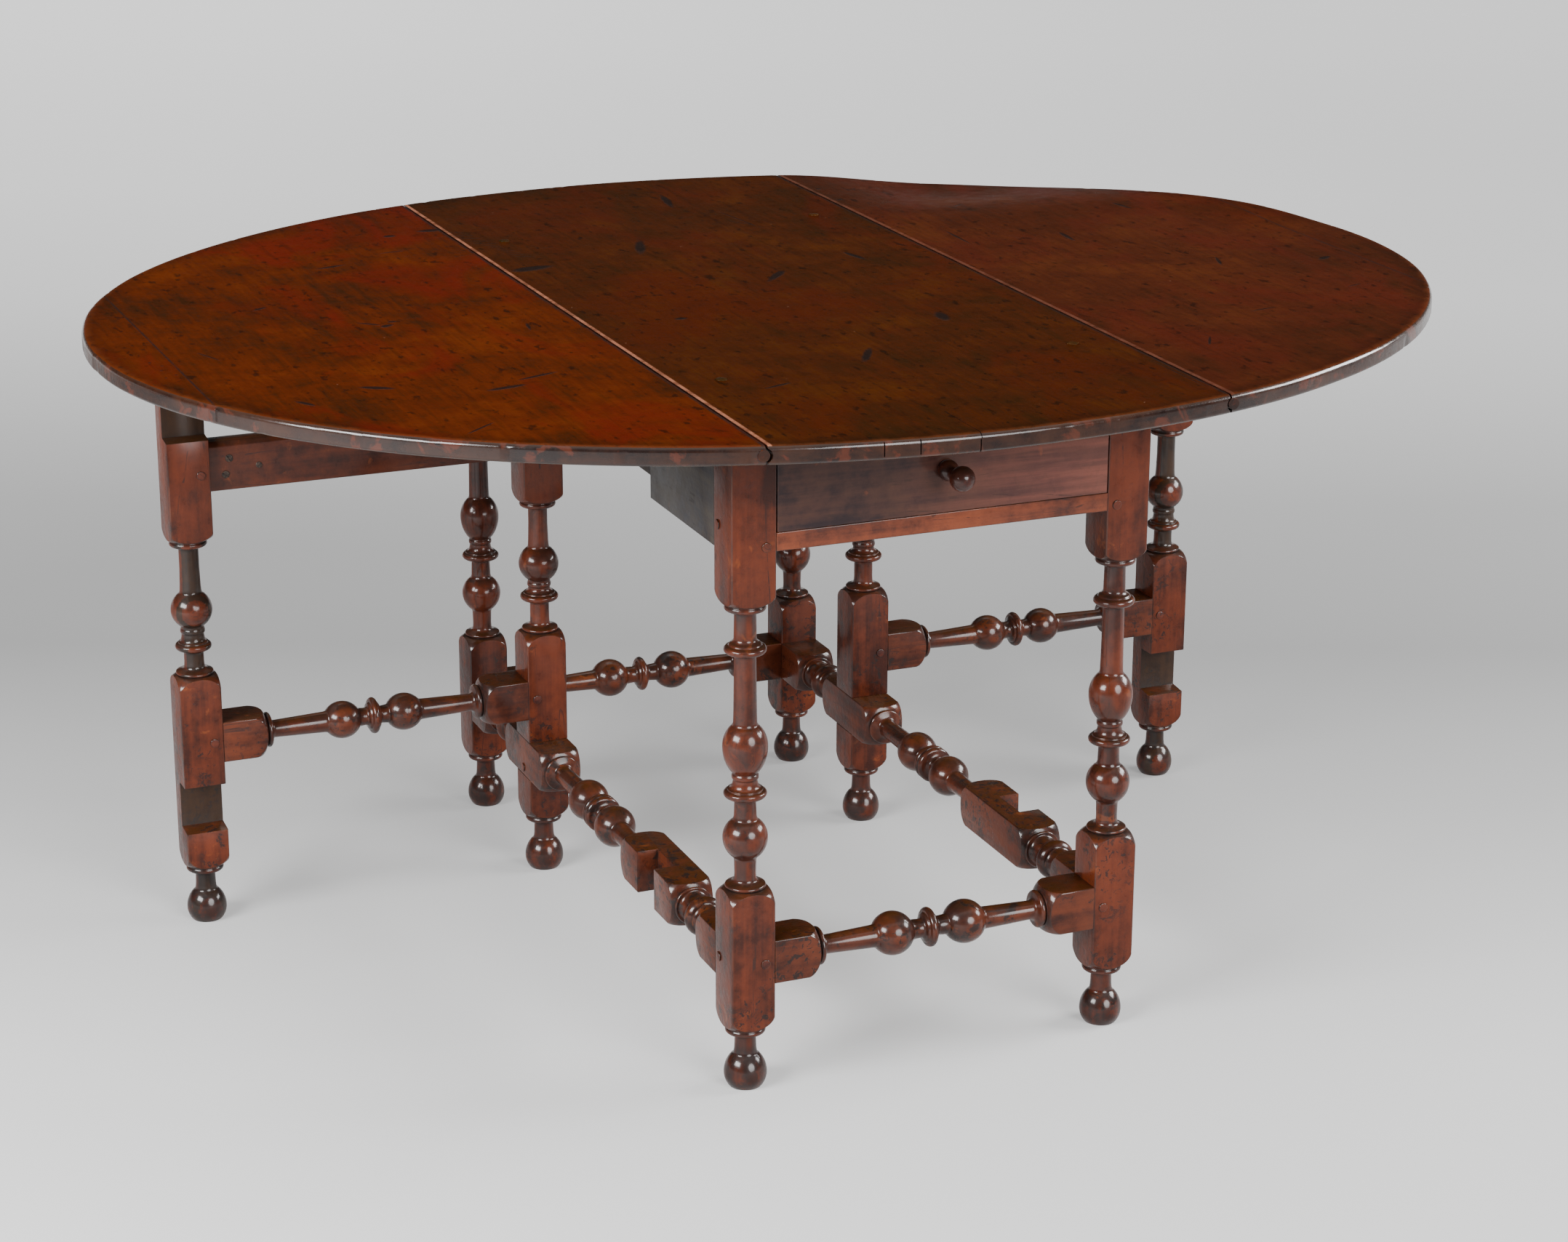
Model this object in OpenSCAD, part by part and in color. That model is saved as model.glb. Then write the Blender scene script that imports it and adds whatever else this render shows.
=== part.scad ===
// Drop-leaf gate-leg dining table with an oval top, shown with both leaves up and both gates open.
// The origin is on the floor under the middle of the top. +X runs across the leaves,
// the drawer opens towards -Y, and +Z is up.

/* [Top] */
// Height of the table, floor to top surface
table_h = 724; // [680:1:780]
// Length of the oval top, across the two raised leaves
top_l = 1490; // [1400:5:1640]
// Width of the oval top, along the fixed board
top_w = 1224; // [1120:5:1300]
// Thickness of the three top boards
top_t = 19; // [17:0.5:24]
// Distance between the middles of the two leaf joints
joint_span = 488; // [484:1:520]
// Gap between the fixed board and a leaf at their top edges
joint_gap = 2.4; // [2:0.1:4]
// Depth of the hollow groove along each long edge of the fixed board
groove_depth = 4; // [2.5:0.5:5]
// Width of the narrow strip glued along the outer end of each leaf
strip_w = 65; // [45:1:105]

/* [Frame] */
// Distance between the leg axes, across the leaves
leg_span_x = 409; // [395:1:415]
// Distance between the leg axes, along the fixed board
leg_span_y = 851; // [820:1:900]
// Width and depth of the square leg and stretcher stock
leg_w = 47; // [45:0.5:50]
// Height of the side and back rails
rail_h = 130; // [120:1:150]
// Thickness of the back rail
back_rail_t = 25; // [18:1:30]
// Height of the drawer rail
drawer_rail_h = 19; // [16:1:24]
// Height of the stretchers' middle above the floor
stretcher_z = 141; // [130:1:155]
// Height that the turned blocks reach above the middle of what is let into them
block_above = 64.5; // [55:0.5:75]
// Height that the turned blocks reach below the middle of the stretcher let into them
block_below = 60; // [50:0.5:64]
// Height that the top blocks reach below the rails let into them
block_hang = 45; // [30:1:55]

/* [Gates] */
// Distance from the middle of the table to the gates' pivots, towards the back
pivot_y = 206; // [190:1:215]
// Distance from a gate's pivot to the axis of its outer leg
gate_reach = 406; // [390:1:415]
// Height of the gates' flat top rails
gate_rail_h = 55; // [45:1:65]
// Thickness of the gates' flat top rails
gate_rail_t = 25; // [18:1:30]
// Gap between a side rail's lower edge and the gate rail that folds under it
gate_rail_drop = 14; // [8:1:20]
// Height of the gate stretchers' middle above the floor
gate_stretcher_z = 216.5; // [212:0.5:230]
// Depth of the rebate at the head of a gate's outer leg
rebate_depth = 19; // [15:0.5:22]
// Radius of the turned pintles that a gate swings on
pintle_r = 8; // [6:0.5:10]
// Length of the turned pintles
pintle_l = 22; // [15:0.5:22.5]

/* [Turning] */
// Diameter of the ball feet
foot_d = 44.6; // [40:0.2:46]
// Radius of the necks between the turned parts
neck_r = 11; // [9:0.2:13]
// Diameter of the balls on the legs
leg_ball_d = 46; // [40:0.2:46.6]
// Diameter of the rings on the legs
leg_ring_d = 44; // [38:0.2:46]
// Diameter of the rings on the gates' outer legs
gate_ring_d = 40.6; // [36:0.2:46]
// Diameter of the collars and beads beside the square blocks
collar_d = 42; // [38:0.2:44]
// Diameter of the balls on the stretchers
stretcher_ball_d = 46.4; // [40:0.2:46.6]
// Diameter of the balls on the gate stretchers
gate_ball_d = 43; // [38:0.2:46]
// Diameter of the rings on the stretchers
stretcher_ring_d = 42; // [36:0.2:44]
// Length of the square blocks at the ends of the end and gate stretchers
stretcher_block_l = 52; // [44:1:56]

/* [Joinery] */
// Thickness of the tenons
tenon_t = 10; // [8:0.5:12]
// Length of the tenons
tenon_l = 20; // [16:0.5:22]
// Play round a tenon in its mortise
tenon_play = 0.1; // [0.05:0.05:0.2]
// Diameter of the wooden pegs
peg_d = 10; // [8:0.5:11]
// Height that the pegs stand proud of the wood
peg_proud = 1.4; // [0.5:0.1:2]
// Radial play of the pintles and hinge pins
running_play = 0.05; // [0.03:0.01:0.08]
// Play between a moving piece and what it rests on or slides past
rest_play = 0.3; // [0.2:0.05:0.5]

/* [Drawer] */
// Length of the drawer, front to back
drawer_l = 540; // [420:5:640]
// Thickness of the drawer front
drawer_front_t = 22; // [18:1:26]
// Thickness of the drawer's sides and back
drawer_side_t = 13; // [10:0.5:16]
// Thickness of the drawer's bottom
drawer_bottom_t = 8; // [6:0.5:10]
// Gap between the drawer and the legs or rails on each side
drawer_play = 1; // [0.5:0.1:2]
// Width of the drawer runners
runner_w = 24; // [18:1:30]
// Diameter of the knob's head
knob_d = 25.6; // [22:0.2:30]

/* [Hinges] */
// Distance of the hinges from the middle of each leaf joint
hinge_y = 310; // [280:1:330]
// Length of a hinge's barrel
hinge_l = 60; // [50:1:64]
// Width of a hinge plate at its flared end
plate_w = 62; // [54:1:70]
// Reach of a hinge plate from the hinge pin
plate_reach = 42; // [34:1:50]
// Thickness of the hinge plates
plate_t = 2; // [1.5:0.1:2.5]
// Radius of the hinge barrels
barrel_r = 3.2; // [2.8:0.1:3.6]
// Radius of the hinge pins
pin_r = 1.5; // [1.2:0.1:1.8]

/* [Hidden] */

RED_PAINT = "#6e2f22";
BROWN_TOP = "#6b3412";
GREY_RAIL = "#5a5652";
BARE_WOOD = "#a07a4c";
IRON = "#3c3a38";

$fn = 48;
eps = 0.01;

half_w = leg_w / 2;
corner_r = leg_w / sqrt(2) + 0.1;
leg_x = leg_span_x / 2;
leg_y = leg_span_y / 2;
face_x = leg_x - half_w;
face_y = leg_y - half_w;

under_z = table_h - top_t;
rail_z = under_z - rail_h;
drawer_rail_z = rail_z + 2;
runner_top_z = drawer_rail_z + drawer_rail_h;

// Rounded shoulders at the ends of the square blocks, lower under the heads
shoulder_h = 14.4;
head_shoulder_h = 9.5;
shoulder_r = 16;
shoulder_a = 76.5;
bead_h = 6.5;
bead_gap = 1.5;
collar_h = 5;

block_low_z = stretcher_z - block_below;
stretcher_top_z = stretcher_z + half_w;
frame_block_top_z = stretcher_z + block_above;
gate_block_top_z = gate_stretcher_z + block_above;
frame_head_z = rail_z - block_hang;

gate_rail_top_z = rail_z - gate_rail_drop;
gate_rail_z = gate_rail_top_z - gate_rail_h;
gate_head_z = gate_rail_z - block_hang;
gate_leg_x = leg_x + gate_reach;
closed_y = pivot_y - gate_reach;
swing_play = 2;
lap_play = 0.5;
lap_over = 3;
recess_sill = 2.5;
rebate_z = rail_z - 5;
rail_thin_t = rebate_depth - 1;
rail_thick_end = 28;

low_ring_h = 11;
fillet_h = 5.5;

peg_r = peg_d / 2;
peg_in = 10.5;
peg_l = 30;
top_peg_r = peg_r + 1;
top_peg_l = 40;
top_peg_in = 13;
top_peg_back = 64;
rail_peg_off = 25;
tenon_inset = 10;
tenon_side = 5;

// The stretchers' middle rings stand a little in front of the middle of the side stretchers
mid_ring_y = 2;
end_ball_pitch = 41;
gate_ball_pitch = 36.5;
side_ball_pitch = 43;
notch_block_half = 79;
side_block_l = 57;
pivot_block_half = 68;
notch_half = half_w + swing_play;
reel_r = 22;
reel_half = 9;

strip_x = top_l / 2 - strip_w;
groove_r = (pow(top_t / 2 - 3, 2) + pow(groove_depth, 2)) / (2 * groove_depth);
board_edge_x = joint_span / 2 - joint_gap / 2;
leaf_edge_x = joint_span / 2 + joint_gap / 2;
nose_r = groove_r - 1.4;
hinge_z = under_z - 1;
hinge_x = joint_span / 2;

// Points of a curve of radii rx and rz round [x, z], from angle a0 to angle a1
function arc(x, z, rx, rz, a0, a1, n) =
    [for (i = [0 : n]) let (a = a0 + (a1 - a0) * i / n) [x + rx * cos(a), z + rz * sin(a)]];

// A half-round bead of outer radius r between two heights
function bead(z0, z1, r, n = 8) =
    arc(r - (z1 - z0) / 2, (z0 + z1) / 2, (z1 - z0) / 2, (z1 - z0) / 2, -90, 90, n);

// A hollow that leaves a neck of radius r0 at height z0 and flares to radius r1 at height z1
function flare(r0, z0, r1, z1, n = 6) =
    [for (i = [0 : n]) [r1 - (r1 - r0) * cos(90 * i / n), z0 + (z1 - z0) * sin(90 * i / n)]];

function backwards(points) = [for (i = [len(points) - 1 : -1 : 0]) points[i]];
function mirrored(points, z) = backwards([for (p = points) [p[0], 2 * z - p[1]]]);

// The rounded shoulder of a square block: up into the block, or up out of it
function shoulder_in(z, h = shoulder_h) =
    arc(shoulder_r, z, corner_r - shoulder_r, h, -shoulder_a, 0, 8);
function shoulder_out(z, h = shoulder_h) =
    arc(shoulder_r, z, corner_r - shoulder_r, h, 0, shoulder_a, 8);

// How far a shoulder reaches out of its block
function shoulder_reach(h = shoulder_h) = h * sin(shoulder_a);

// A collar disc that starts at height z, with the neck over it
function collar_up(z, neck = neck_r) = concat(
    [[collar_d / 2 - 2, z]],
    bead(z + 0.4, z + collar_h - 0.6, collar_d / 2, 6),
    [[collar_d / 2 - 3, z + collar_h - 0.2], [neck + 3.5, z + collar_h + 0.8],
     [neck + 1.2, z + collar_h + 2.2], [neck + 0.3, z + collar_h + 5], [neck, z + collar_h + 10]]
);

// A bead that hangs under a block, whose shoulder starts at height z
function bead_under(z) = concat(
    [[neck_r, z - bead_gap - bead_h - 5], [neck_r + 0.8, z - bead_gap - bead_h - 1.5],
     [neck_r + 3, z - bead_gap - bead_h]],
    bead(z - bead_gap - bead_h, z - bead_gap, collar_d / 2),
    [[collar_d / 2 - 3, z - bead_gap + 0.3], [collar_d / 2 - 2.6, z - 0.5]]
);

// The ball foot and its neck, up to the block above
function foot_points(block_z) = let (foot_z = foot_d * 0.325, r = foot_d / 2) concat(
    [[0, 0]],
    arc(0, foot_z, r, r, -asin(foot_z / r), acos((neck_r + 3) / r), 14),
    [[neck_r + 1.7, foot_z + r], [neck_r + 0.7, foot_z + r + 6]],
    bead_under(block_z - shoulder_reach()),
    shoulder_in(block_z)
);

// A ring with a hollow and a fillet over it, as stands on each leg under its highest ball
function ring_group(z, h, d) = let (r = d / 2, top = z + h - fillet_h) concat(
    [[neck_r, z - 1], [neck_r + 1, z + 2], [r - 5, z + 3.2]],
    arc(r - 4, z + 7.6, 4, 4.4, -90, 0, 6),
    arc(r - 4, z + 7.6, 4, low_ring_h - 7.6, 0, 90, 6),
    [[r - 4, z + low_ring_h + 1.5]],
    mirrored(flare(neck_r + 1.4, z + low_ring_h + 1.5, r - 4.5, top), (z + low_ring_h + 1.5 + top) / 2),
    [[neck_r + 2.2, top + 0.4], [neck_r + 2.7, top + 1.5], [neck_r + 2.7, top + fillet_h - 1],
     [neck_r + 2, top + fillet_h]]
);

// A turned egg, widest at height z, between two heights where it meets necks of radius r0 and r1
function egg(z, z0, z1, r, r0, r1) = concat(
    arc(0, z, r, (z - z0) / sin(acos(r0 / r)), -acos(r0 / r), 0, 8),
    arc(0, z, r, (z1 - z) / sin(acos(r1 / r)), 0, acos(r1 / r), 8)
);

// The whole outline of a corner leg, from the floor up
function frame_leg_points() = let (
    s = frame_block_top_z + shoulder_reach(),
    low = s + 33,
    ring = s + 94,
    high = s + 122,
    up = frame_head_z - head_shoulder_h * sin(shoulder_a),
    ring2 = up - 54
) concat(
    foot_points(block_low_z),
    shoulder_out(frame_block_top_z),
    collar_up(s),
    [[neck_r + 0.4, low - 3]],
    egg(low + 21, low, low + 40, leg_ball_d / 2, neck_r + 1.6, neck_r + 1.6),
    [[neck_r + 0.5, low + 43.5]],
    ring_group(ring, 28, leg_ring_d),
    egg(high + 29, high + 1, high + 51.5, leg_ball_d / 2, neck_r + 1.6, neck_r + 2),
    [[neck_r + 1.1, high + 54], [neck_r + 0.8, high + 66], [neck_r, ring2 - 3]],
    [[neck_r + 1, ring2 + 1.5], [neck_r + 5, ring2 + 2]],
    bead(ring2 + 2, ring2 + 10, leg_ring_d / 2 - 0.5),
    [[neck_r + 6, ring2 + 10.3], [neck_r + 5, ring2 + 12.5], [neck_r + 2.5, ring2 + 13.5],
     [neck_r + 0.5, ring2 + 16.5]],
    bead_under(up),
    shoulder_in(frame_head_z, head_shoulder_h),
    [[corner_r, under_z], [0, under_z]]
);

// The turned stretch of a gate leg, between its lower block and its head
function gate_leg_points(ring_up, ring_h, ring_d) = let (
    s = gate_block_top_z + shoulder_reach(),
    ring = gate_block_top_z + ring_up,
    top = ring + ring_h,
    up = gate_head_z - head_shoulder_h * sin(shoulder_a)
) concat(
    shoulder_out(gate_block_top_z),
    collar_up(s),
    ring_group(ring, ring_h, ring_d),
    egg(top + 21.5, top + 3, top + 41, leg_ball_d / 2, neck_r + 2, neck_r + 1.8),
    [[neck_r + 1, top + 43.5], [neck_r + 0.6, top + 50], [neck_r, top + 70]],
    bead_under(up),
    shoulder_in(gate_head_z, head_shoulder_h)
);

// Half of an end or gate stretcher's outline, from its middle ring out to its end block
function half_stretcher_points(half_l, pitch, ball_d) = let (
    s = half_l - stretcher_block_l,
    r = ball_d / 2
) concat(
    bead(-4, 4, stretcher_ring_d / 2, 10),
    [[neck_r + 5, 4.2], [neck_r + 4, 6.2], [neck_r, 7.2], [neck_r - 1, 9.5]],
    egg(pitch, pitch - r * 0.9, pitch + r * 0.85, r, neck_r - 0.2, neck_r + 1.5),
    [[neck_r + 0.9, pitch + r * 0.85 + 3], [neck_r - 1, s - collar_h - 6],
     [neck_r + 0.5, s - collar_h - 3.2], [neck_r + 4, s - collar_h - 2.4]],
    bead(s - collar_h - 2, s - 1.4, collar_d / 2 - 0.8, 6),
    [[collar_d / 2 - 3, s - 1]],
    shoulder_in(s + shoulder_reach())
);

// The reel between a side stretcher's end block and its next block, both shoulders included
function reel_points(z0, z1) = let (m = (z0 + z1) / 2) concat(
    shoulder_out(z0 - shoulder_reach()),
    bead(z0 + 0.5, z0 + 4, collar_d / 2, 4),
    flare_pair(z0 + 4, m - reel_half),
    bead(m - reel_half, m + reel_half, reel_r, 10),
    flare_pair(m + reel_half, z1 - 4),
    bead(z1 - 4, z1 - 0.5, collar_d / 2, 4),
    shoulder_in(z1 + shoulder_reach())
);

// A hollow between two heights, tangent to its neck in the middle
function flare_pair(z0, z1) = let (m = (z0 + z1) / 2) concat(
    mirrored(flare(neck_r + 3, z0, collar_d / 2 - 3, m), (z0 + m) / 2),
    flare(neck_r + 3, m, collar_d / 2 - 3, z1)
);

// The outline of a side stretcher from its front end to its back end
function side_stretcher_points() = let (
    s0 = closed_y + notch_block_half,
    s1 = pivot_y - pivot_block_half,
    r = stretcher_ball_d / 2,
    b0 = mid_ring_y - side_ball_pitch,
    b1 = mid_ring_y + side_ball_pitch
) concat(
    [[0, -face_y], [corner_r, -face_y]],
    reel_points(side_block_l - face_y, closed_y - notch_block_half),
    shoulder_out(s0 - shoulder_reach()),
    mirrored(side_collar(0), s0 / 2),
    [[neck_r + 0.6, b0 - r * 0.85 - 3]],
    egg(b0, b0 - r * 0.85, b0 + r * 0.9, r, neck_r + 1.5, neck_r),
    [[neck_r - 1, mid_ring_y - 11], [neck_r + 3, mid_ring_y - 9]],
    bead(mid_ring_y - 8.4, mid_ring_y - 0.4, stretcher_ring_d / 2),
    bead(mid_ring_y + 0.4, mid_ring_y + 8.4, stretcher_ring_d / 2),
    [[neck_r + 3, mid_ring_y + 9], [neck_r - 1, mid_ring_y + 11]],
    egg(b1, b1 - r * 0.9, b1 + r * 0.85, r, neck_r, neck_r + 1.5),
    [[neck_r + 0.6, b1 + r * 0.85 + 3]],
    side_collar(s1),
    shoulder_in(s1 + shoulder_reach()),
    reel_points(pivot_y + pivot_block_half, face_y - side_block_l),
    [[corner_r, face_y], [0, face_y]]
);

// A collar on a side stretcher, from its neck up to the block that starts at height z
function side_collar(z) = concat(
    [[neck_r - 0.4, z - collar_h - 6], [neck_r + 0.8, z - collar_h - 2.5],
     [neck_r + 4, z - collar_h - 1.2]],
    bead(z - collar_h, z - 0.5, collar_d / 2, 6)
);

// Square stock between two heights, cut to a turned outline
module turned(points, z0, z1) {
    intersection() {
        rotate_extrude() polygon(points);
        translate([-half_w, -half_w, z0]) cube([leg_w, leg_w, z1 - z0]);
    }
}

// A box given by its low and high corners
module block(low, high) {
    translate(low) cube(high - low);
}

// Everything that a left piece has, turned over for the right side
module on_side(side) {
    if (side == "right") mirror([1, 0, 0]) children();
    else children();
}

// A peg along +Y or +X that starts at the given point, or its hole
module peg(at, along, play = 0) {
    translate(at) rotate(along == "y" ? [-90, 0, 0] : [0, 90, 0])
        translate([0, 0, play > 0 ? -5 : -peg_proud])
            cylinder(r = peg_r + play, h = peg_l + (play > 0 ? 5 : peg_proud));
}

// The oval outline of the top
module oval(n = 144) {
    polygon([for (i = [0 : n - 1]) let (a = 360 * i / n) [top_l / 2 * cos(a), top_w / 2 * sin(a)]]);
}

// The end view of the fixed board, hollow along both edges
module board_section() {
    difference() {
        translate([-board_edge_x, 0]) square([2 * board_edge_x, top_t]);
        for (s = [-1, 1]) translate([s * (board_edge_x - groove_depth + groove_r), top_t / 2])
            circle(r = groove_r);
    }
}

// The end view of the left leaf, with the round nose that lies in the groove
module leaf_section() {
    translate([-top_l / 2 - 1, 0]) square([top_l / 2 + 1 - leaf_edge_x, top_t]);
    intersection() {
        translate([-leaf_edge_x - nose_r + groove_depth, top_t / 2]) circle(r = nose_r);
        translate([-leaf_edge_x - eps, 0]) square([groove_depth + 1, top_t]);
    }
}

// A top board: its end view run along Y, cut to the oval and relieved for the hinges
module top_piece() {
    difference() {
        intersection() {
            translate([0, 0, under_z]) linear_extrude(top_t) oval();
            translate([0, top_w / 2, under_z]) rotate([90, 0, 0]) linear_extrude(top_w) children();
        }
        for (s = [-1, 1]) {
            hinge_places(s) hinge_barrel(barrel_r + 0.6, hinge_l + 1);
            hinge_places(s) hinge_plate(-1, 0.1);
            hinge_places(s) hinge_plate(1, 0.1);
            hinge_places(s) plate_nails(-1, 0.05);
            hinge_places(s) plate_nails(1, 0.05);
        }
    }
}

// The two hinges of one joint; s is -1 for the left joint and 1 for the right one
module hinge_places(s) {
    for (y = [-hinge_y, hinge_y]) translate([s * hinge_x, y, hinge_z]) children();
}

module hinge_barrel(r, l, from = 0) {
    translate([0, from, 0]) rotate([90, 0, 0]) cylinder(r = r, h = l, center = true);
}

// A flared hinge plate let into the underside, reaching towards s along X
module hinge_plate(s, play = 0) {
    translate([0, 0, under_z - hinge_z]) linear_extrude(plate_t + (play > 0 ? eps : 0)) polygon([
        [0, -hinge_l / 2 + 12 - play], [s * (plate_reach + play), -plate_w / 2 - play],
        [s * (plate_reach + play), plate_w / 2 + play], [0, hinge_l / 2 - 12 + play]
    ]);
}

// Two flush nails through the flared end of a hinge plate, or their holes
module plate_nails(s, play = 0) {
    for (y = [-1, 1]) translate([s * (plate_reach - 9), y * plate_w / 4, under_z - hinge_z]) {
        cylinder(r = 3 + play, h = 1);
        cylinder(r = 1.5 + play, h = 13);
    }
}

// A plate with its knuckles: two at the ends for the fixed side, one in the middle for the leaf
module knuckled_plate(s, knuckles, bore) {
    knuckle_l = hinge_l / 3;
    wide = 4 * barrel_r;
    difference() {
        union() {
            difference() {
                hinge_plate(s);
                if (knuckles == "ends") cube([wide, knuckle_l + 0.6, wide + 4], center = true);
                if (knuckles == "middle") for (y = [-1, 1])
                    translate([0, y * knuckle_l, 0]) cube([wide, knuckle_l, wide + 4], center = true);
            }
            if (knuckles == "ends") for (y = [-1, 1]) hinge_barrel(barrel_r, knuckle_l, y * knuckle_l);
            if (knuckles == "middle") hinge_barrel(barrel_r, knuckle_l - 0.6);
        }
        hinge_barrel(bore, hinge_l + 1);
        plate_nails(s, 0.05);
    }
}

module top_board() {
    color(BROWN_TOP) difference() {
        top_piece() board_section();
        top_peg_places() cylinder(r = top_peg_r, h = 2 * top_peg_l);
    }
}

module top_peg_places() {
    for (x = [-1, 1], y = [-1, 1])
        translate([x * (face_x + top_peg_in), y * (face_y - top_peg_back), table_h - top_peg_l])
            children();
}

module top_pegs() {
    color(BROWN_TOP) top_peg_places() cylinder(r = top_peg_r, h = top_peg_l);
}

module leaf(side) {
    color(BROWN_TOP) on_side(side) intersection() {
        top_piece() leaf_section();
        block([-strip_x, -top_w, 0], [0, top_w, table_h + 1]);
    }
}

module leaf_strip(side) {
    color(BROWN_TOP) on_side(side) intersection() {
        translate([0, 0, under_z]) linear_extrude(top_t) oval();
        block([-top_l, -top_w, 0], [-strip_x, top_w, table_h + 1]);
    }
}

// Heights of the pegs through a corner leg: side members, then end members
function side_peg_heights() = [stretcher_z, rail_z + rail_peg_off, under_z - rail_peg_off];
function end_peg_heights(end) =
    end == "front" ? [stretcher_z, drawer_rail_z + drawer_rail_h / 2 - 4]
                   : side_peg_heights();

// Puts the front-left corner's pieces at any corner
module at_corner(end, side) {
    on_side(side) mirror([0, end == "back" ? 1 : 0, 0]) translate([-leg_x, -leg_y, 0]) children();
}

// Tenons of the members that run from the front-left leg, in that leg's own place
module side_tenon(z0, z1, play = 0) {
    block([-half_w + tenon_inset - play, half_w - tenon_l - play, z0 - play],
          [-half_w + tenon_inset + tenon_t + play, half_w + eps, z1 + play]);
}

module end_tenon(z0, z1, play = 0) {
    block([half_w - tenon_l - play, -half_w + tenon_inset - play, z0 - play],
          [half_w + eps, -half_w + tenon_inset + tenon_t + play, z1 + play]);
}

module side_rail_tenon(play = 0) { side_tenon(rail_z + 6, under_z - 10, play); }
module stretcher_tenon_side(play = 0) {
    side_tenon(stretcher_z - half_w + tenon_side, stretcher_z + half_w - tenon_side, play);
}
module stretcher_tenon_end(play = 0) {
    end_tenon(stretcher_z - half_w + tenon_side, stretcher_z + half_w - tenon_side, play);
}
module back_rail_tenon(play = 0) { end_tenon(rail_z + 6, under_z - 10, play); }
module drawer_rail_tenon(play = 0) {
    end_tenon(drawer_rail_z + 3, drawer_rail_z + drawer_rail_h - 3, play);
}

// Pegs of one corner, or their holes
module corner_pegs(end, play = 0) {
    for (z = side_peg_heights()) peg([-half_w, half_w - peg_in, z], "x", play);
    for (z = end_peg_heights(end)) peg([half_w - peg_in, -half_w, z], "y", play);
}

module frame_leg(end, side) {
    color(RED_PAINT) at_corner(end, side) difference() {
        turned(frame_leg_points(), 0, under_z);
        side_rail_tenon(tenon_play);
        stretcher_tenon_side(tenon_play);
        stretcher_tenon_end(tenon_play);
        if (end == "front") drawer_rail_tenon(tenon_play);
        else back_rail_tenon(tenon_play);
        corner_pegs(end, tenon_play / 2);
    }
}

// A side rail of full leg stock at both ends, thinned on its outer side where the gate folds in
module side_rail(side) {
    color(GREY_RAIL) on_side(side) difference() {
        union() {
            block([-leg_x - half_w, -face_y, rail_z], [-face_x, face_y, under_z]);
            for (m = [0, 1]) mirror([0, m, 0]) translate([-leg_x, -leg_y, 0]) side_rail_tenon();
        }
        block([-leg_x - half_w - 1, closed_y - notch_half, rail_z - 1],
              [-face_x - rail_thin_t, pivot_y - rail_thick_end, under_z + 1]);
        translate([-leg_x, pivot_y, rail_z - 1])
            cylinder(r = pintle_r + running_play, h = pintle_l + 2);
        for (m = [0, 1]) mirror([0, m, 0]) translate([-leg_x, -leg_y, 0])
            for (z = side_peg_heights()) peg([-half_w, half_w - peg_in, z], "x", tenon_play / 2);
        top_peg_places() cylinder(r = top_peg_r, h = 2 * top_peg_l);
        runner_nail_places() runner_nail();
    }
}

module back_rail() {
    color(RED_PAINT) difference() {
        union() {
            y = leg_y + half_w - tenon_inset - tenon_t / 2;
            block([-face_x, y - back_rail_t / 2, rail_z], [face_x, y + back_rail_t / 2, under_z]);
            for (s = ["left", "right"]) at_corner("back", s) back_rail_tenon();
        }
        for (s = ["left", "right"]) at_corner("back", s) corner_pegs("back", tenon_play / 2);
    }
}

module drawer_rail() {
    color(RED_PAINT) difference() {
        union() {
            block([-face_x, -leg_y - half_w, drawer_rail_z], [face_x, -face_y, runner_top_z]);
            for (s = ["left", "right"]) at_corner("front", s) drawer_rail_tenon();
        }
        for (s = ["left", "right"]) at_corner("front", s) corner_pegs("front", tenon_play / 2);
    }
}

module drawer_runner(side) {
    back_y = leg_y + half_w - tenon_inset - tenon_t / 2 - back_rail_t / 2;
    color(BARE_WOOD) on_side(side) difference() {
        block([-face_x, -face_y, drawer_rail_z], [-face_x + runner_w, back_y, runner_top_z]);
        runner_nail_places() runner_nail();
    }
}

module runner_nail_places() {
    for (y = [-0.8, -0.27, 0.27, 0.8])
        translate([-face_x + runner_w, y * face_y, drawer_rail_z + drawer_rail_h / 2]) children();
}

// A wrought nail driven outwards through a runner into its side rail
module runner_nail() {
    translate([1, 0, 0]) rotate([0, -90, 0]) {
        cylinder(r = 4, h = 1);
        cylinder(r = 1.6, h = runner_w + 12);
    }
}

module runner_nails() {
    color(IRON) for (s = ["left", "right"]) on_side(s) runner_nail_places() runner_nail();
}

// An end or gate stretcher lying along X, with its middle at the origin
module turned_stretcher(half_l, pitch, ball_d) {
    half = half_stretcher_points(half_l, pitch, ball_d);
    outline = [for (p = half) if (p[1] >= 0) p];
    rotate([0, 90, 0]) turned(concat(
        [[0, -half_l], [corner_r, -half_l]],
        mirrored(outline, 0), outline,
        [[corner_r, half_l], [0, half_l]]
    ), -half_l, half_l);
}

module end_stretcher(end) {
    color(RED_PAINT) mirror([0, end == "back" ? 1 : 0, 0]) difference() {
        union() {
            translate([0, -leg_y, stretcher_z])
                turned_stretcher(face_x, end_ball_pitch, stretcher_ball_d);
            for (s = ["left", "right"]) at_corner("front", s) stretcher_tenon_end();
        }
        for (s = ["left", "right"]) at_corner("front", s)
            peg([half_w - peg_in, -half_w, stretcher_z], "y", tenon_play / 2);
    }
}

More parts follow.
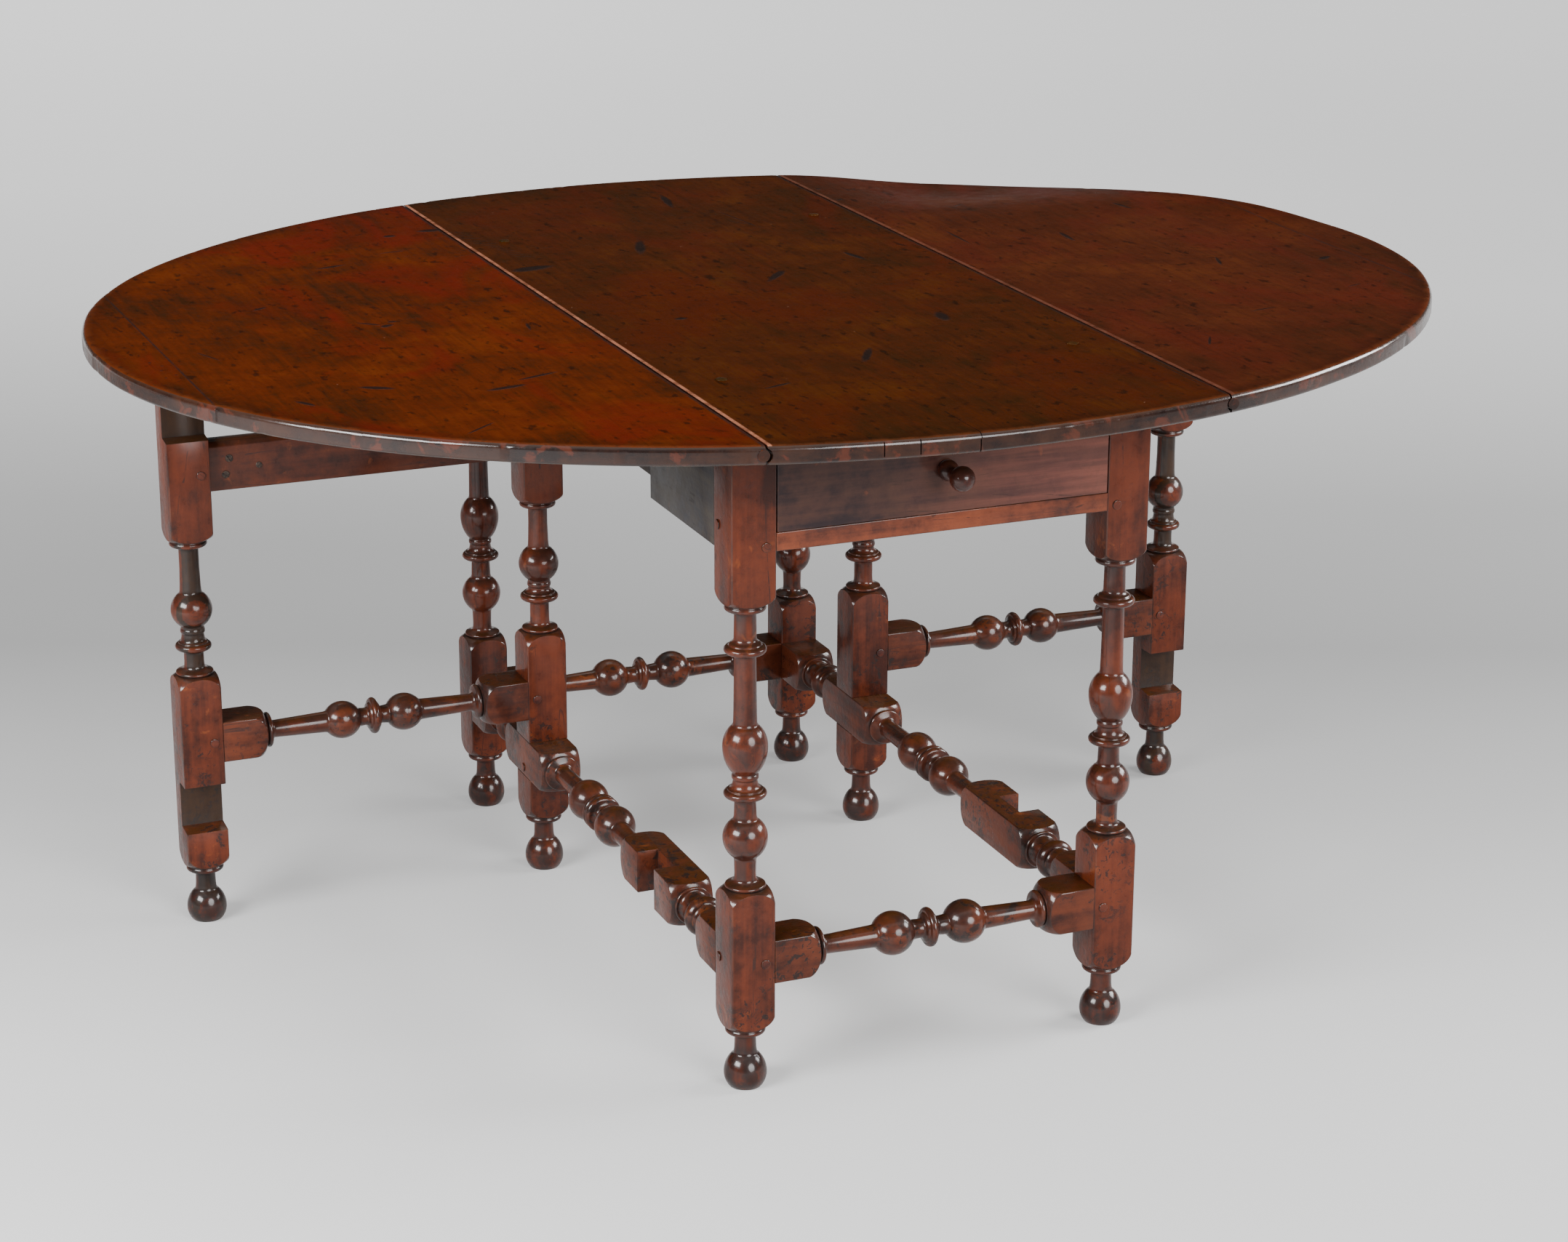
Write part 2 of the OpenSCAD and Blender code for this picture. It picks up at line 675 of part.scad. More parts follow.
module side_stretcher(side) {
    foot_tenon_z = stretcher_z - half_w;
    color(RED_PAINT) on_side(side) difference() {
        union() {
            translate([-leg_x, 0, stretcher_z]) rotate([-90, 0, 0])
                turned(side_stretcher_points(), -face_y, face_y);
            for (m = [0, 1]) mirror([0, m, 0]) translate([-leg_x, -leg_y, 0])
                stretcher_tenon_side();
        }
        block([-leg_x - leg_w, closed_y - notch_half, 0],
              [-leg_x + lap_play, closed_y + notch_half, table_h]);
        translate([-leg_x, pivot_y, stretcher_top_z - pintle_l - 1])
            cylinder(r = pintle_r + running_play, h = leg_w);
        translate([-leg_x, pivot_y, foot_tenon_z - 1])
            cylinder(r = foot_tenon_r + tenon_play, h = foot_tenon_l + 1 + tenon_play);
        for (m = [0, 1]) mirror([0, m, 0]) translate([-leg_x, -leg_y, 0])
            peg([-half_w, half_w - peg_in, stretcher_z], "x", tenon_play / 2);
        foot_peg_place() peg([0, 0, 0], "x", tenon_play / 2);
    }
}

foot_tenon_r = 9;
foot_tenon_l = 19;

module foot_peg_place() {
    translate([-leg_x - half_w, pivot_y, stretcher_z - half_w + foot_tenon_l / 2]) children();
}

module pivot_foot(side) {
    block_top_z = stretcher_z - half_w;
    color(RED_PAINT) on_side(side) difference() {
        translate([-leg_x, pivot_y, 0]) {
            turned(concat(foot_points(block_low_z), [[corner_r, block_top_z], [0, block_top_z]]),
                0, block_top_z);
            translate([0, 0, block_top_z - eps]) cylinder(r = foot_tenon_r, h = foot_tenon_l);
        }
        foot_peg_place() peg([0, 0, 0], "x", tenon_play / 2);
    }
}

module frame_pegs() {
    color(RED_PAINT) {
        for (e = ["front", "back"], s = ["left", "right"]) at_corner(e, s) corner_pegs(e);
        for (s = ["left", "right"]) on_side(s) foot_peg_place() peg([0, 0, 0], "x");
    }
}

// Tenons of a gate's top rail and stretcher, from the side face of a leg at the origin
module gate_tenons(s, play = 0) {
    x0 = min(s * (half_w + eps), s * (half_w - tenon_l - play));
    x1 = max(s * (half_w + eps), s * (half_w - tenon_l - play));
    for (z = [[gate_rail_z + 6, gate_rail_top_z - 8],
              [gate_stretcher_z - half_w + tenon_side, gate_stretcher_z + half_w - tenon_side]])
        block([x0, -tenon_t / 2 - play, z[0] - play], [x1, tenon_t / 2 + play, z[1] + play]);
}

// Pegs of one gate leg, entering its front face beside the rail and the stretcher
module gate_leg_pegs(s, play = 0) {
    for (z = [gate_rail_z + gate_rail_h / 2 - 5, gate_stretcher_z + 1])
        peg([s * (half_w - peg_in), -half_w, z], "y", play);
}

module gate_pivot_leg(side) {
    low_z = stretcher_top_z + rest_play;
    high_z = rail_z - rest_play;
    color(RED_PAINT) on_side(side) translate([-leg_x, pivot_y, 0]) {
        difference() {
            turned(concat([[0, low_z], [corner_r, low_z]], gate_leg_points(53, 25, leg_ring_d),
                [[corner_r, high_z], [0, high_z]]), low_z, high_z);
            gate_tenons(-1, tenon_play);
            gate_leg_pegs(-1, tenon_play / 2);
        }
        translate([0, 0, high_z - eps]) cylinder(r = pintle_r, h = pintle_l);
        translate([0, 0, low_z - pintle_l]) cylinder(r = pintle_r, h = pintle_l + eps);
    }
}

// A recess across a gate leg's front face, with a sloping sill
module leg_recess(depth, z0, z1) {
    translate([-leg_w, 0, 0]) rotate([90, 0, 90]) linear_extrude(2 * leg_w) polygon([
        [-leg_w, z0 - recess_sill], [-half_w, z0 - recess_sill], [-half_w + depth, z0],
        [-half_w + depth, z1], [-leg_w, z1]
    ]);
}

module gate_outer_leg(side) {
    high_z = under_z - rest_play;
    color(RED_PAINT) on_side(side) translate([-gate_leg_x, pivot_y, 0]) difference() {
        turned(concat(foot_points(block_low_z), gate_leg_points(45, 28, gate_ring_d),
            [[corner_r, high_z], [0, high_z]]), 0, high_z);
        leg_recess(half_w + lap_play, stretcher_z - half_w - lap_over, stretcher_top_z + lap_over);
        leg_recess(rebate_depth, rebate_z, high_z + 1);
        gate_tenons(1, tenon_play);
        gate_leg_pegs(1, tenon_play / 2);
    }
}

module gate_top_rail(side) {
    x0 = -gate_leg_x + half_w;
    x1 = -leg_x - half_w;
    bevel = 5;
    color(RED_PAINT) on_side(side) translate([0, pivot_y, 0]) difference() {
        union() {
            translate([x0, 0, 0]) rotate([90, 0, 90]) linear_extrude(x1 - x0) polygon([
                [-gate_rail_t / 2, gate_rail_z], [gate_rail_t / 2, gate_rail_z],
                [gate_rail_t / 2, gate_rail_top_z], [-gate_rail_t / 2 + bevel, gate_rail_top_z],
                [-gate_rail_t / 2, gate_rail_top_z - bevel]
            ]);
            intersection() {
                gate_tenon_pairs();
                block([-top_l, -leg_w, gate_rail_z], [0, leg_w, gate_rail_top_z]);
            }
        }
        gate_peg_holes();
        if (side == "left") translate([0, -pivot_y, 0]) gate_rail_screws();
    }
}

module gate_tenon_pairs() {
    translate([-gate_leg_x, 0, 0]) gate_tenons(1);
    translate([-leg_x, 0, 0]) gate_tenons(-1);
}

module gate_peg_holes(play = tenon_play / 2) {
    translate([-gate_leg_x, 0, 0]) gate_leg_pegs(1, play);
    translate([-leg_x, 0, 0]) gate_leg_pegs(-1, play);
}

module gate_stretcher(side) {
    color(RED_PAINT) on_side(side) translate([0, pivot_y, 0]) difference() {
        union() {
            translate([-leg_x - gate_reach / 2, 0, gate_stretcher_z])
                turned_stretcher(gate_reach / 2 - half_w, gate_ball_pitch, gate_ball_d);
            intersection() {
                gate_tenon_pairs();
                block([-top_l, -leg_w, 0], [0, leg_w, gate_stretcher_z + leg_w]);
            }
        }
        gate_peg_holes();
    }
}

module gate_pegs(side) {
    color(RED_PAINT) on_side(side) translate([0, pivot_y, 0]) gate_peg_holes(0);
}

// Two old screws and a nail that hold the outer end of the left gate's top rail
module gate_rail_screws() {
    front_y = pivot_y - gate_rail_t / 2;
    x = -gate_leg_x + half_w;
    color(IRON) for (p = [[24, 36, 4.4], [19.5, 18, 4.4], [57, 25, 3.6]])
        translate([x + p[0], front_y + 14, gate_rail_z + p[1]]) rotate([90, 0, 0]) {
            cylinder(r = 2, h = 14);
            translate([0, 0, 13]) cylinder(r = p[2], h = 1.8);
        }
}

module hinge_plates_frame() {
    color(IRON) for (s = [-1, 1]) hinge_places(s) knuckled_plate(-s, "ends", pin_r);
}

module hinge_plates(s) {
    color(IRON) hinge_places(s) knuckled_plate(s, "middle", pin_r + running_play);
}

module hinge_pins() {
    color(IRON) for (s = [-1, 1]) hinge_places(s) hinge_barrel(pin_r, hinge_l);
}

module hinge_nails(s, way) {
    color(IRON) hinge_places(s) plate_nails(way);
}

// The drawer's box: inside the rails, on the runners, under the top
drawer_half = face_x - drawer_play;
drawer_low_z = runner_top_z + rest_play;
drawer_high_z = under_z - drawer_play;
drawer_side_high_z = drawer_high_z - 12;
drawer_front_y = -leg_y - half_w;
drawer_back_y = drawer_front_y + drawer_l;
groove_in = 6;
bottom_z = drawer_low_z + 6;
knob_z = drawer_low_z + 44.5;
spigot_r = 5;

module drawer_front() {
    color(RED_PAINT) difference() {
        block([-drawer_half, drawer_front_y, drawer_low_z],
              [drawer_half, drawer_front_y + drawer_front_t, drawer_high_z]);
        for (s = [-1, 1]) drawer_side_box(s);
        drawer_bottom_box();
        translate([0, drawer_front_y - 1, knob_z]) rotate([-90, 0, 0])
            cylinder(r = spigot_r, h = drawer_front_t + 2);
        drawer_nail_places() drawer_nail();
    }
}

module drawer_side_box(s) {
    x0 = s * drawer_half;
    x1 = s * (drawer_half - drawer_side_t);
    block([min(x0, x1), drawer_front_y + drawer_front_t / 2, drawer_low_z],
          [max(x0, x1), drawer_back_y, drawer_side_high_z]);
}

module drawer_bottom_box() {
    x = drawer_half - drawer_side_t + groove_in;
    block([-x, drawer_front_y + drawer_front_t - groove_in, bottom_z],
          [x, drawer_back_y, bottom_z + drawer_bottom_t]);
}

module drawer_side(s) {
    color(BARE_WOOD) difference() {
        drawer_side_box(s);
        drawer_bottom_box();
        drawer_nail_places() drawer_nail();
    }
}

module drawer_back() {
    x = drawer_half - drawer_side_t;
    color(BARE_WOOD) difference() {
        block([-x, drawer_back_y - drawer_side_t, bottom_z + drawer_bottom_t],
              [x, drawer_back_y, drawer_side_high_z]);
        drawer_nail_places() drawer_nail();
    }
}

module drawer_bottom() {
    color(BARE_WOOD) drawer_bottom_box();
}

// Nails through the drawer's sides into its front and back
module drawer_nail_places() {
    for (s = [0, 1], z = [0.35, 0.75],
         y = [drawer_front_y + drawer_front_t * 0.75, drawer_back_y - drawer_side_t / 2])
        mirror([s, 0, 0]) translate([-drawer_half, y,
            drawer_low_z + z * (drawer_side_high_z - drawer_low_z)]) children();
}

module drawer_nail() {
    rotate([0, 90, 0]) {
        cylinder(r = 2.6, h = 0.8);
        cylinder(r = 1.2, h = drawer_side_t + 14);
    }
}

module drawer_nails() {
    color(IRON) drawer_nail_places() drawer_nail();
}

// A turned knob: ball base, waist and ball head, with a spigot through the drawer front
module drawer_knob() {
    r = knob_d / 2;
    head_z = 37;
    base_z = 5;
    base_r = 10.8;
    waist_r = 5;
    color(RED_PAINT) translate([0, drawer_front_y, knob_z]) rotate([90, 0, 0]) {
        rotate_extrude() polygon(concat(
            [[0, 0]],
            arc(0, base_z, base_r, base_r, -asin(base_z / base_r), acos((waist_r + 1) / base_r), 10),
            [[waist_r, base_z + base_r + 0.5], [waist_r - 0.4, base_z + base_r + 3]],
            arc(0, head_z, r, r, -acos(waist_r / r), 90, 14)
        ));
        translate([0, 0, -drawer_front_t]) cylinder(r = spigot_r, h = drawer_front_t + eps);
    }
}

top_board();
leaf("left");  // leaf_left
leaf("right");  // leaf_right
leaf_strip("left");  // leaf_strip_left
leaf_strip("right");  // leaf_strip_right
top_pegs();
frame_leg("front", "left");  // leg_front_left
frame_leg("front", "right");  // leg_front_right
frame_leg("back", "left");  // leg_back_left
frame_leg("back", "right");  // leg_back_right
side_rail("left");  // side_rail_left
side_rail("right");  // side_rail_right
back_rail();
drawer_rail();
drawer_runner("left");  // drawer_runner_left
drawer_runner("right");  // drawer_runner_right
runner_nails();
end_stretcher("front");  // end_stretcher_front
end_stretcher("back");  // end_stretcher_back
side_stretcher("left");  // side_stretcher_left
side_stretcher("right");  // side_stretcher_right
pivot_foot("left");  // pivot_foot_left
pivot_foot("right");  // pivot_foot_right
frame_pegs();
gate_pivot_leg("left");  // gate_pivot_leg_left
gate_pivot_leg("right");  // gate_pivot_leg_right
gate_outer_leg("left");  // gate_outer_leg_left
gate_outer_leg("right");  // gate_outer_leg_right
gate_top_rail("left");  // gate_top_rail_left
gate_top_rail("right");  // gate_top_rail_right
gate_stretcher("left");  // gate_stretcher_left
gate_stretcher("right");  // gate_stretcher_right
gate_pegs("left");  // gate_pegs_left
gate_pegs("right");  // gate_pegs_right
gate_rail_screws();
hinge_plates_frame();
hinge_plates(-1);  // hinge_plates_left
hinge_plates(1);  // hinge_plates_right
hinge_pins();
union() {  // hinge_nails_frame
    hinge_nails(-1, 1);
    hinge_nails(1, -1);
}
hinge_nails(-1, -1);  // hinge_nails_left
hinge_nails(1, 1);  // hinge_nails_right
drawer_front();
drawer_side(-1);  // drawer_side_left
drawer_side(1);  // drawer_side_right
drawer_back();
drawer_bottom();
drawer_nails();
drawer_knob();
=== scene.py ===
import bpy
import math
from mathutils import Matrix, Vector, noise


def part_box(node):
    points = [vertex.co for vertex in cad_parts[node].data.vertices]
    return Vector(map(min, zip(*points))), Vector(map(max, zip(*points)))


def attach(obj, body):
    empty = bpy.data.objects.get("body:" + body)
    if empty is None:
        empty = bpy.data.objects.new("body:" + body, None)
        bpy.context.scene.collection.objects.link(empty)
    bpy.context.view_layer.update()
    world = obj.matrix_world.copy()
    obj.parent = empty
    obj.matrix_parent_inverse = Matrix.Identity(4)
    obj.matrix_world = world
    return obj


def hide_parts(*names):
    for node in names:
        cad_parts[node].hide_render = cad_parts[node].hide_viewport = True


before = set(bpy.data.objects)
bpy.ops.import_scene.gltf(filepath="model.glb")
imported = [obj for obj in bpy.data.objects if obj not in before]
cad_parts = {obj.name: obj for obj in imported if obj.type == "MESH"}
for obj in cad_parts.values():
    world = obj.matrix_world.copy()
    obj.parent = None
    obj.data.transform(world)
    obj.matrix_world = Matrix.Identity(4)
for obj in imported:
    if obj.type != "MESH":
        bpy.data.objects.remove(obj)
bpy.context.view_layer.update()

# Studio and camera: the table stands on a wide pale grey floor. Its grey is painted darker in a band just
# behind the table as painted shade, and the floor glows as painted light, more on the left. Soft boxes stand
# to its left, right and above, and two wide suns give the light of pale walls in front and behind.
CAMERA_AT = Vector((-1.4434, -3.4788, 1.6117))
CAMERA_YAW = math.radians(-22.75)
CAMERA_DOWN = math.radians(18.62)
CAMERA_ROLL = math.radians(-0.19)
LENS_MM = 81.23
heading = Vector((-math.sin(CAMERA_YAW), math.cos(CAMERA_YAW), 0))
forward = heading * math.cos(CAMERA_DOWN) - Vector((0, 0, math.sin(CAMERA_DOWN)))
level = Vector((math.cos(CAMERA_YAW), math.sin(CAMERA_YAW), 0))
below = forward.cross(level)
across = level * math.cos(CAMERA_ROLL) + below * math.sin(CAMERA_ROLL)
downward = below * math.cos(CAMERA_ROLL) - level * math.sin(CAMERA_ROLL)
lens = bpy.data.cameras.new("camera")
lens.sensor_width = 36
lens.lens = LENS_MM
camera = bpy.data.objects.new("camera", lens)
bpy.context.scene.collection.objects.link(camera)
camera.matrix_world = Matrix((across, -downward, -forward)).transposed().to_4x4()
camera.matrix_world.translation = CAMERA_AT
bpy.context.scene.camera = camera


def add(tree, kind, inputs=None, **settings):
    """Adds a shader node. An input is given as a value, or as the socket that feeds it."""
    made = tree.nodes.new("ShaderNode" + kind)
    for name, value in settings.items():
        setattr(made, name, value)
    for name, value in (inputs or {}).items():
        if isinstance(value, bpy.types.NodeSocket):
            tree.links.new(value, made.inputs[name])
        else:
            made.inputs[name].default_value = value
    return made


def fresh_material(name):
    """A new material with its tree emptied down to the shader, and Object coordinates."""
    material = bpy.data.materials.new(name)
    material.use_nodes = True
    tree = material.node_tree
    return material, tree, tree.nodes["Principled BSDF"], add(tree, "TexCoord").outputs["Object"]


def axis(tree, vector, way):
    return add(tree, "SeparateXYZ", {"Vector": vector}).outputs[way]


def dot(tree, first, second):
    return add(tree, "VectorMath", {0: first, 1: second}, operation="DOT_PRODUCT").outputs["Value"]


def named(name):
    """Names the piece that was just added."""
    bpy.context.object.name = name
    return bpy.context.object


def coat(piece, *materials):
    """Gives a piece its materials, in place of any that it has."""
    piece.data.materials.clear()
    for material in materials:
        piece.data.materials.append(material)


# Painted shade: the floor's grey is darkest in a band just behind the table, and paler in front and far off.
FLOOR_SHADE_TONES = ((-1.2, 0.46), (-0.4, 0.40), (0.3, 0.25), (0.9, 0.18), (1.6, 0.21), (3.0, 0.40), (6.0, 0.55),
               (9.0, 0.55))
# Painted light: the floor glows, most in front and far off and least just behind the table, which lifts the
# shadows on it.
FLOOR_PAINTED_GLOW = ((-1.2, 0.40), (0.3, 0.27), (0.9, 0.17), (2.0, 0.22), (4.0, 0.45), (7.0, 0.60), (9.0, 0.60))
bpy.ops.object.select_all(action="DESELECT")
bpy.ops.mesh.primitive_grid_add(x_subdivisions=8, y_subdivisions=8, size=90, location=(0, 0, 0))
floor = named("studio_floor")


def ramp(tree, value, stops):
    """A colour ramp. Its stops are (position, colour) with a grey as one number."""
    made = add(tree, "ValToRGB", {"Fac": value})
    marks = made.color_ramp.elements
    while len(marks) < len(stops):
        marks.new(0.5)
    for mark, (place, colour) in zip(marks, stops):
        mark.position = place
        mark.color = (colour, colour, colour, 1) if isinstance(colour, float) else (*colour, 1)
    return made.outputs["Color"]


def spread(tree, value, low, high, to_low=0, to_high=1):
    """Stretches a value from one span to another, and stops at both ends."""
    return add(tree, "MapRange", {"Value": value, "From Min": low, "From Max": high,
                                  "To Min": to_low, "To Max": to_high}).outputs[0]


def graded(tree, value, tones):
    """A grey that follows listed tones along a length in metres."""
    first, last = tones[0][0], tones[-1][0]
    return ramp(tree, spread(tree, value, first, last),
                [((place - first) / (last - first), grey) for place, grey in tones])


floor_shade_and_glow, tree, shader, coords = fresh_material("studio_floor")
depth = dot(tree, coords, tuple(heading))
tree.links.new(graded(tree, depth, FLOOR_SHADE_TONES), shader.inputs["Base Color"])
tree.links.new(graded(tree, depth, FLOOR_PAINTED_GLOW), shader.inputs["Emission Color"])
aside = dot(tree, coords, tuple(level))
# Painted light: the floor's glow is stronger on the left than on the right.
tree.links.new(spread(tree, aside, -1.3, 1.3, 1.22, 0.86), shader.inputs["Emission Strength"])
shader.inputs["Roughness"].default_value = 0.9
shader.inputs["Specular IOR Level"].default_value = 0.0
coat(floor, floor_shade_and_glow)


TABLE_MIDDLE = Vector((0, 0, 0.45))


def lit(name, kind, power, beam):
    """A lamp that shines along a direction."""
    lamp = bpy.data.lights.new(name, kind)
    lamp.energy = power
    holder = bpy.data.objects.new(name, lamp)
    bpy.context.scene.collection.objects.link(holder)
    holder.rotation_euler = beam.to_track_quat("-Z", "Y").to_euler()
    return lamp, holder


def soft_light(name, place, size, power):
    """A large soft box, itself out of sight, that faces the table."""
    lamp, holder = lit(name, "AREA", power, TABLE_MIDDLE - Vector(place))
    lamp.shape = "RECTANGLE"
    lamp.size, lamp.size_y = size
    holder.location = place
    holder.visible_camera = False


def wall_light(name, towards, strength, wide):
    """The light of a whole pale wall, so many degrees wide, that stands towards a direction."""
    lamp, holder = lit(name, "SUN", strength, -Vector(towards))
    lamp.angle = math.radians(wide)


soft_light("left_box", (-3.3, -1.2, 2.0), (2.0, 1.1), 290)
soft_light("right_box", (3.3, -0.6, 1.9), (2.0, 1.1), 215)
soft_light("overhead", (0.0, -0.3, 3.8), (4.5, 4.5), 36)
wall_light("front_wall", (0.25, -0.95, 0.36), 4.8, 32)
wall_light("back_wall", (0.15, 0.50, 0.87), 0.22, 24)
world = bpy.data.worlds.new("studio")
bpy.context.scene.world = world
world.use_nodes = True
sky = world.node_tree
upwards = axis(sky, add(sky, "TexCoord").outputs["Generated"], "Z")
sky_grey = ramp(sky, spread(sky, upwards, -0.2, 1), ((0.16, 0.6), (0.27, 0.035), (0.5, 0.035), (0.85, 0.6)))
sky.links.new(sky_grey, sky.nodes["Background"].inputs["Color"])
sky.nodes["Background"].inputs["Strength"].default_value = 1.0

# Corner legs: four posts of one outline. Each is a planed square billet, left square where the
# rails and stretchers are let in, turned between into balls, rings and necks, and ends in a ball foot.
MM = 0.001
STOCK_W = 47
HALF_W = STOCK_W / 2
STOCK_SPARE = 9
CORNER_R = STOCK_W / math.sqrt(2) + 0.1
NECK_R = 11
COLLAR_R = 21
LEG_BALL_R = 23
LEG_RING_R = 22
FOOT_R = 22.3
FOOT_SUNK = 0.65
FOOT_EGG_H = 26
SHOULDER_R = 16
SHOULDER_A = 76.5
SHOULDER_H = 20
HEAD_SHOULDER_H = 14
COLLAR_H = 5
UNDER_Z = 705
RAIL_Z = 575
STRETCHER_Z = 141
BLOCK_UP = 59
BLOCK_LOW_Z = STRETCHER_Z - 54.5
FRAME_BLOCK_Z = STRETCHER_Z + BLOCK_UP
HEAD_UNDER = 40.6
FRAME_HEAD_Z = RAIL_Z - HEAD_UNDER


def arc(r, z, half_w, half_h, start, end, steps=12):
    """Outline points on an oval round (r, z), from one angle to another."""
    turns = [math.radians(start + (end - start) * i / steps) for i in range(steps + 1)]
    return [(r + half_w * math.cos(a), z + half_h * math.sin(a)) for a in turns]


def bead(low, high, r, steps=12):
    """A half-round bead of outer radius r between two heights."""
    half = (high - low) / 2
    return arc(r - half, (low + high) / 2, half, half, -90, 90, steps)


def egg(z, low, high, r, low_r, high_r):
    """A turned egg, widest at z, between the two heights where it meets its necks."""
    low_a = math.acos(low_r / r)
    high_a = math.acos(high_r / r)
    return (arc(0, z, r, (z - low) / math.sin(low_a), -math.degrees(low_a), 0, 14)
            + arc(0, z, r, (high - z) / math.sin(high_a), 0, math.degrees(high_a), 14)[1:])


def flare(r0, z0, r1, z1, steps=8):
    """A hollow that leaves radius r0 upright and runs out to radius r1."""
    turns = [math.pi / 2 * i / steps for i in range(steps + 1)]
    return [(r1 - (r1 - r0) * math.cos(a), z0 + (z1 - z0) * math.sin(a)) for a in turns]


def upended(points, z):
    """The same outline turned end for end about height z."""
    return [(r, 2 * z - h) for r, h in reversed(points)]


def shoulder_in(z, h=SHOULDER_H):
    """The rounded shoulder where a block begins, square from height z."""
    return arc(SHOULDER_R, z, CORNER_R - SHOULDER_R, h, -SHOULDER_A, 0, 14)


def shoulder_out(z, h=SHOULDER_H):
    """The same where a block ends, square up to height z."""
    return arc(SHOULDER_R, z, CORNER_R - SHOULDER_R, h, 0, SHOULDER_A, 14)


def shoulder_reach(h=SHOULDER_H):
    return h * math.sin(math.radians(SHOULDER_A))


def collar_up(z):
    """A collar on top of a block's shoulder, with the neck over it."""
    return ([(COLLAR_R - 1.4, z)] + bead(z + 0.4, z + COLLAR_H - 0.6, COLLAR_R, 8)
            + [(COLLAR_R - 3, z + COLLAR_H - 0.2), (NECK_R + 3.5, z + COLLAR_H + 0.8)]
            + [(NECK_R + 1.2, z + COLLAR_H + 2.2), (NECK_R + 0.3, z + COLLAR_H + 5)]
            + [(NECK_R, z + COLLAR_H + 10)])


def bead_under(z):
    """A bead under a block, whose shoulder starts at height z."""
    return ([(NECK_R, z - 12), (NECK_R + 0.6, z - 8.6), (NECK_R + 2.4, z - 7.6), (COLLAR_R - 3, z - 7.4)]
            + arc(COLLAR_R - 3, z - 4.2, 3, 3.2, -90, 50, 10)
            + [(COLLAR_R - 1.2, z - 0.8), (COLLAR_R - 1.3, z - 0.4)])


def foot(block_z):
    """The ball foot, worn flat where it stands, and its neck up to the block."""
    middle = FOOT_R * FOOT_SUNK
    top_a = math.acos((NECK_R + 1.8) / FOOT_R)
    top = middle + FOOT_EGG_H * math.sin(top_a)
    return ([(0, 0)] + arc(0, middle, FOOT_R, FOOT_R, -math.degrees(math.asin(FOOT_SUNK)), 0, 12)
            + arc(0, middle, FOOT_R, FOOT_EGG_H, 0, math.degrees(top_a), 14)[1:]
            + [(NECK_R + 0.9, top + 2.5), (NECK_R + 0.4, top + 7)]
            + bead_under(block_z - shoulder_reach()) + shoulder_in(block_z))


def ring_group(z, h, r):
    """A ring, a hollow and a fillet, which stand under the highest ball."""
    top = z + h - 5.5
    hollow = z + 12.5
    return ([(NECK_R, z - 1), (NECK_R + 1, z + 2), (r - 5, z + 3.2)]
            + arc(r - 4, z + 7.6, 4, 4.4, -90, 0, 8) + arc(r - 4, z + 7.6, 4, 3.4, 0, 90, 8)[1:]
            + [(r - 4, hollow)]
            + upended(flare(NECK_R + 1.4, hollow, r - 4.5, top), (hollow + top) / 2)
            + [(NECK_R + 2.2, top + 0.4), (NECK_R + 2.7, top + 1.5), (NECK_R + 2.7, top + 4.5)]
            + [(NECK_R + 2, top + 5.5)])


def corner_leg_outline():
    """From the floor: foot, block, ball, ring and hollow, ball, ring, and the block that takes the rails."""
    s = FRAME_BLOCK_Z + shoulder_reach()
    high = s + 122
    up = FRAME_HEAD_Z - shoulder_reach(HEAD_SHOULDER_H)
    ring = up - 54
    return (foot(BLOCK_LOW_Z) + shoulder_out(FRAME_BLOCK_Z) + collar_up(s) + [(NECK_R + 0.4, s + 30)]
            + egg(s + 54, s + 33, s + 73, LEG_BALL_R, NECK_R + 1.6, NECK_R + 1.6)
            + [(NECK_R + 0.5, s + 76.5)] + ring_group(s + 94, 28, LEG_RING_R)
            + egg(high + 29, high + 1, high + 51.5, LEG_BALL_R, NECK_R + 1.6, NECK_R + 2)
            + [(NECK_R + 1.1, high + 54), (NECK_R + 0.8, high + 66), (NECK_R, ring - 3)]
            + [(NECK_R + 1, ring + 1.5), (NECK_R + 5, ring + 2)]
            + bead(ring + 2, ring + 10, LEG_RING_R - 0.5)
            + [(NECK_R + 6, ring + 10.3), (NECK_R + 5, ring + 12.5), (NECK_R + 2.5, ring + 13.5)]
            + [(NECK_R + 0.5, ring + 16.5)] + bead_under(up)
            + shoulder_in(FRAME_HEAD_Z, HEAD_SHOULDER_H) + [(CORNER_R, UNDER_Z), (0, UNDER_Z)])


def worn(points, most=0.7):
    """The outline with each of its corners cut off a little, as handling wears them."""
    rounded = [points[0]]
    for before, point, after in zip(points, points[1:], points[2:]):
        for other in (before, after):
            away = Vector(other) - Vector(point)
            part = min(0.3 * away.length, most) / max(away.length, 0.001)
            rounded.append(tuple(Vector(point) + away * part))
    return rounded + [points[-1]]


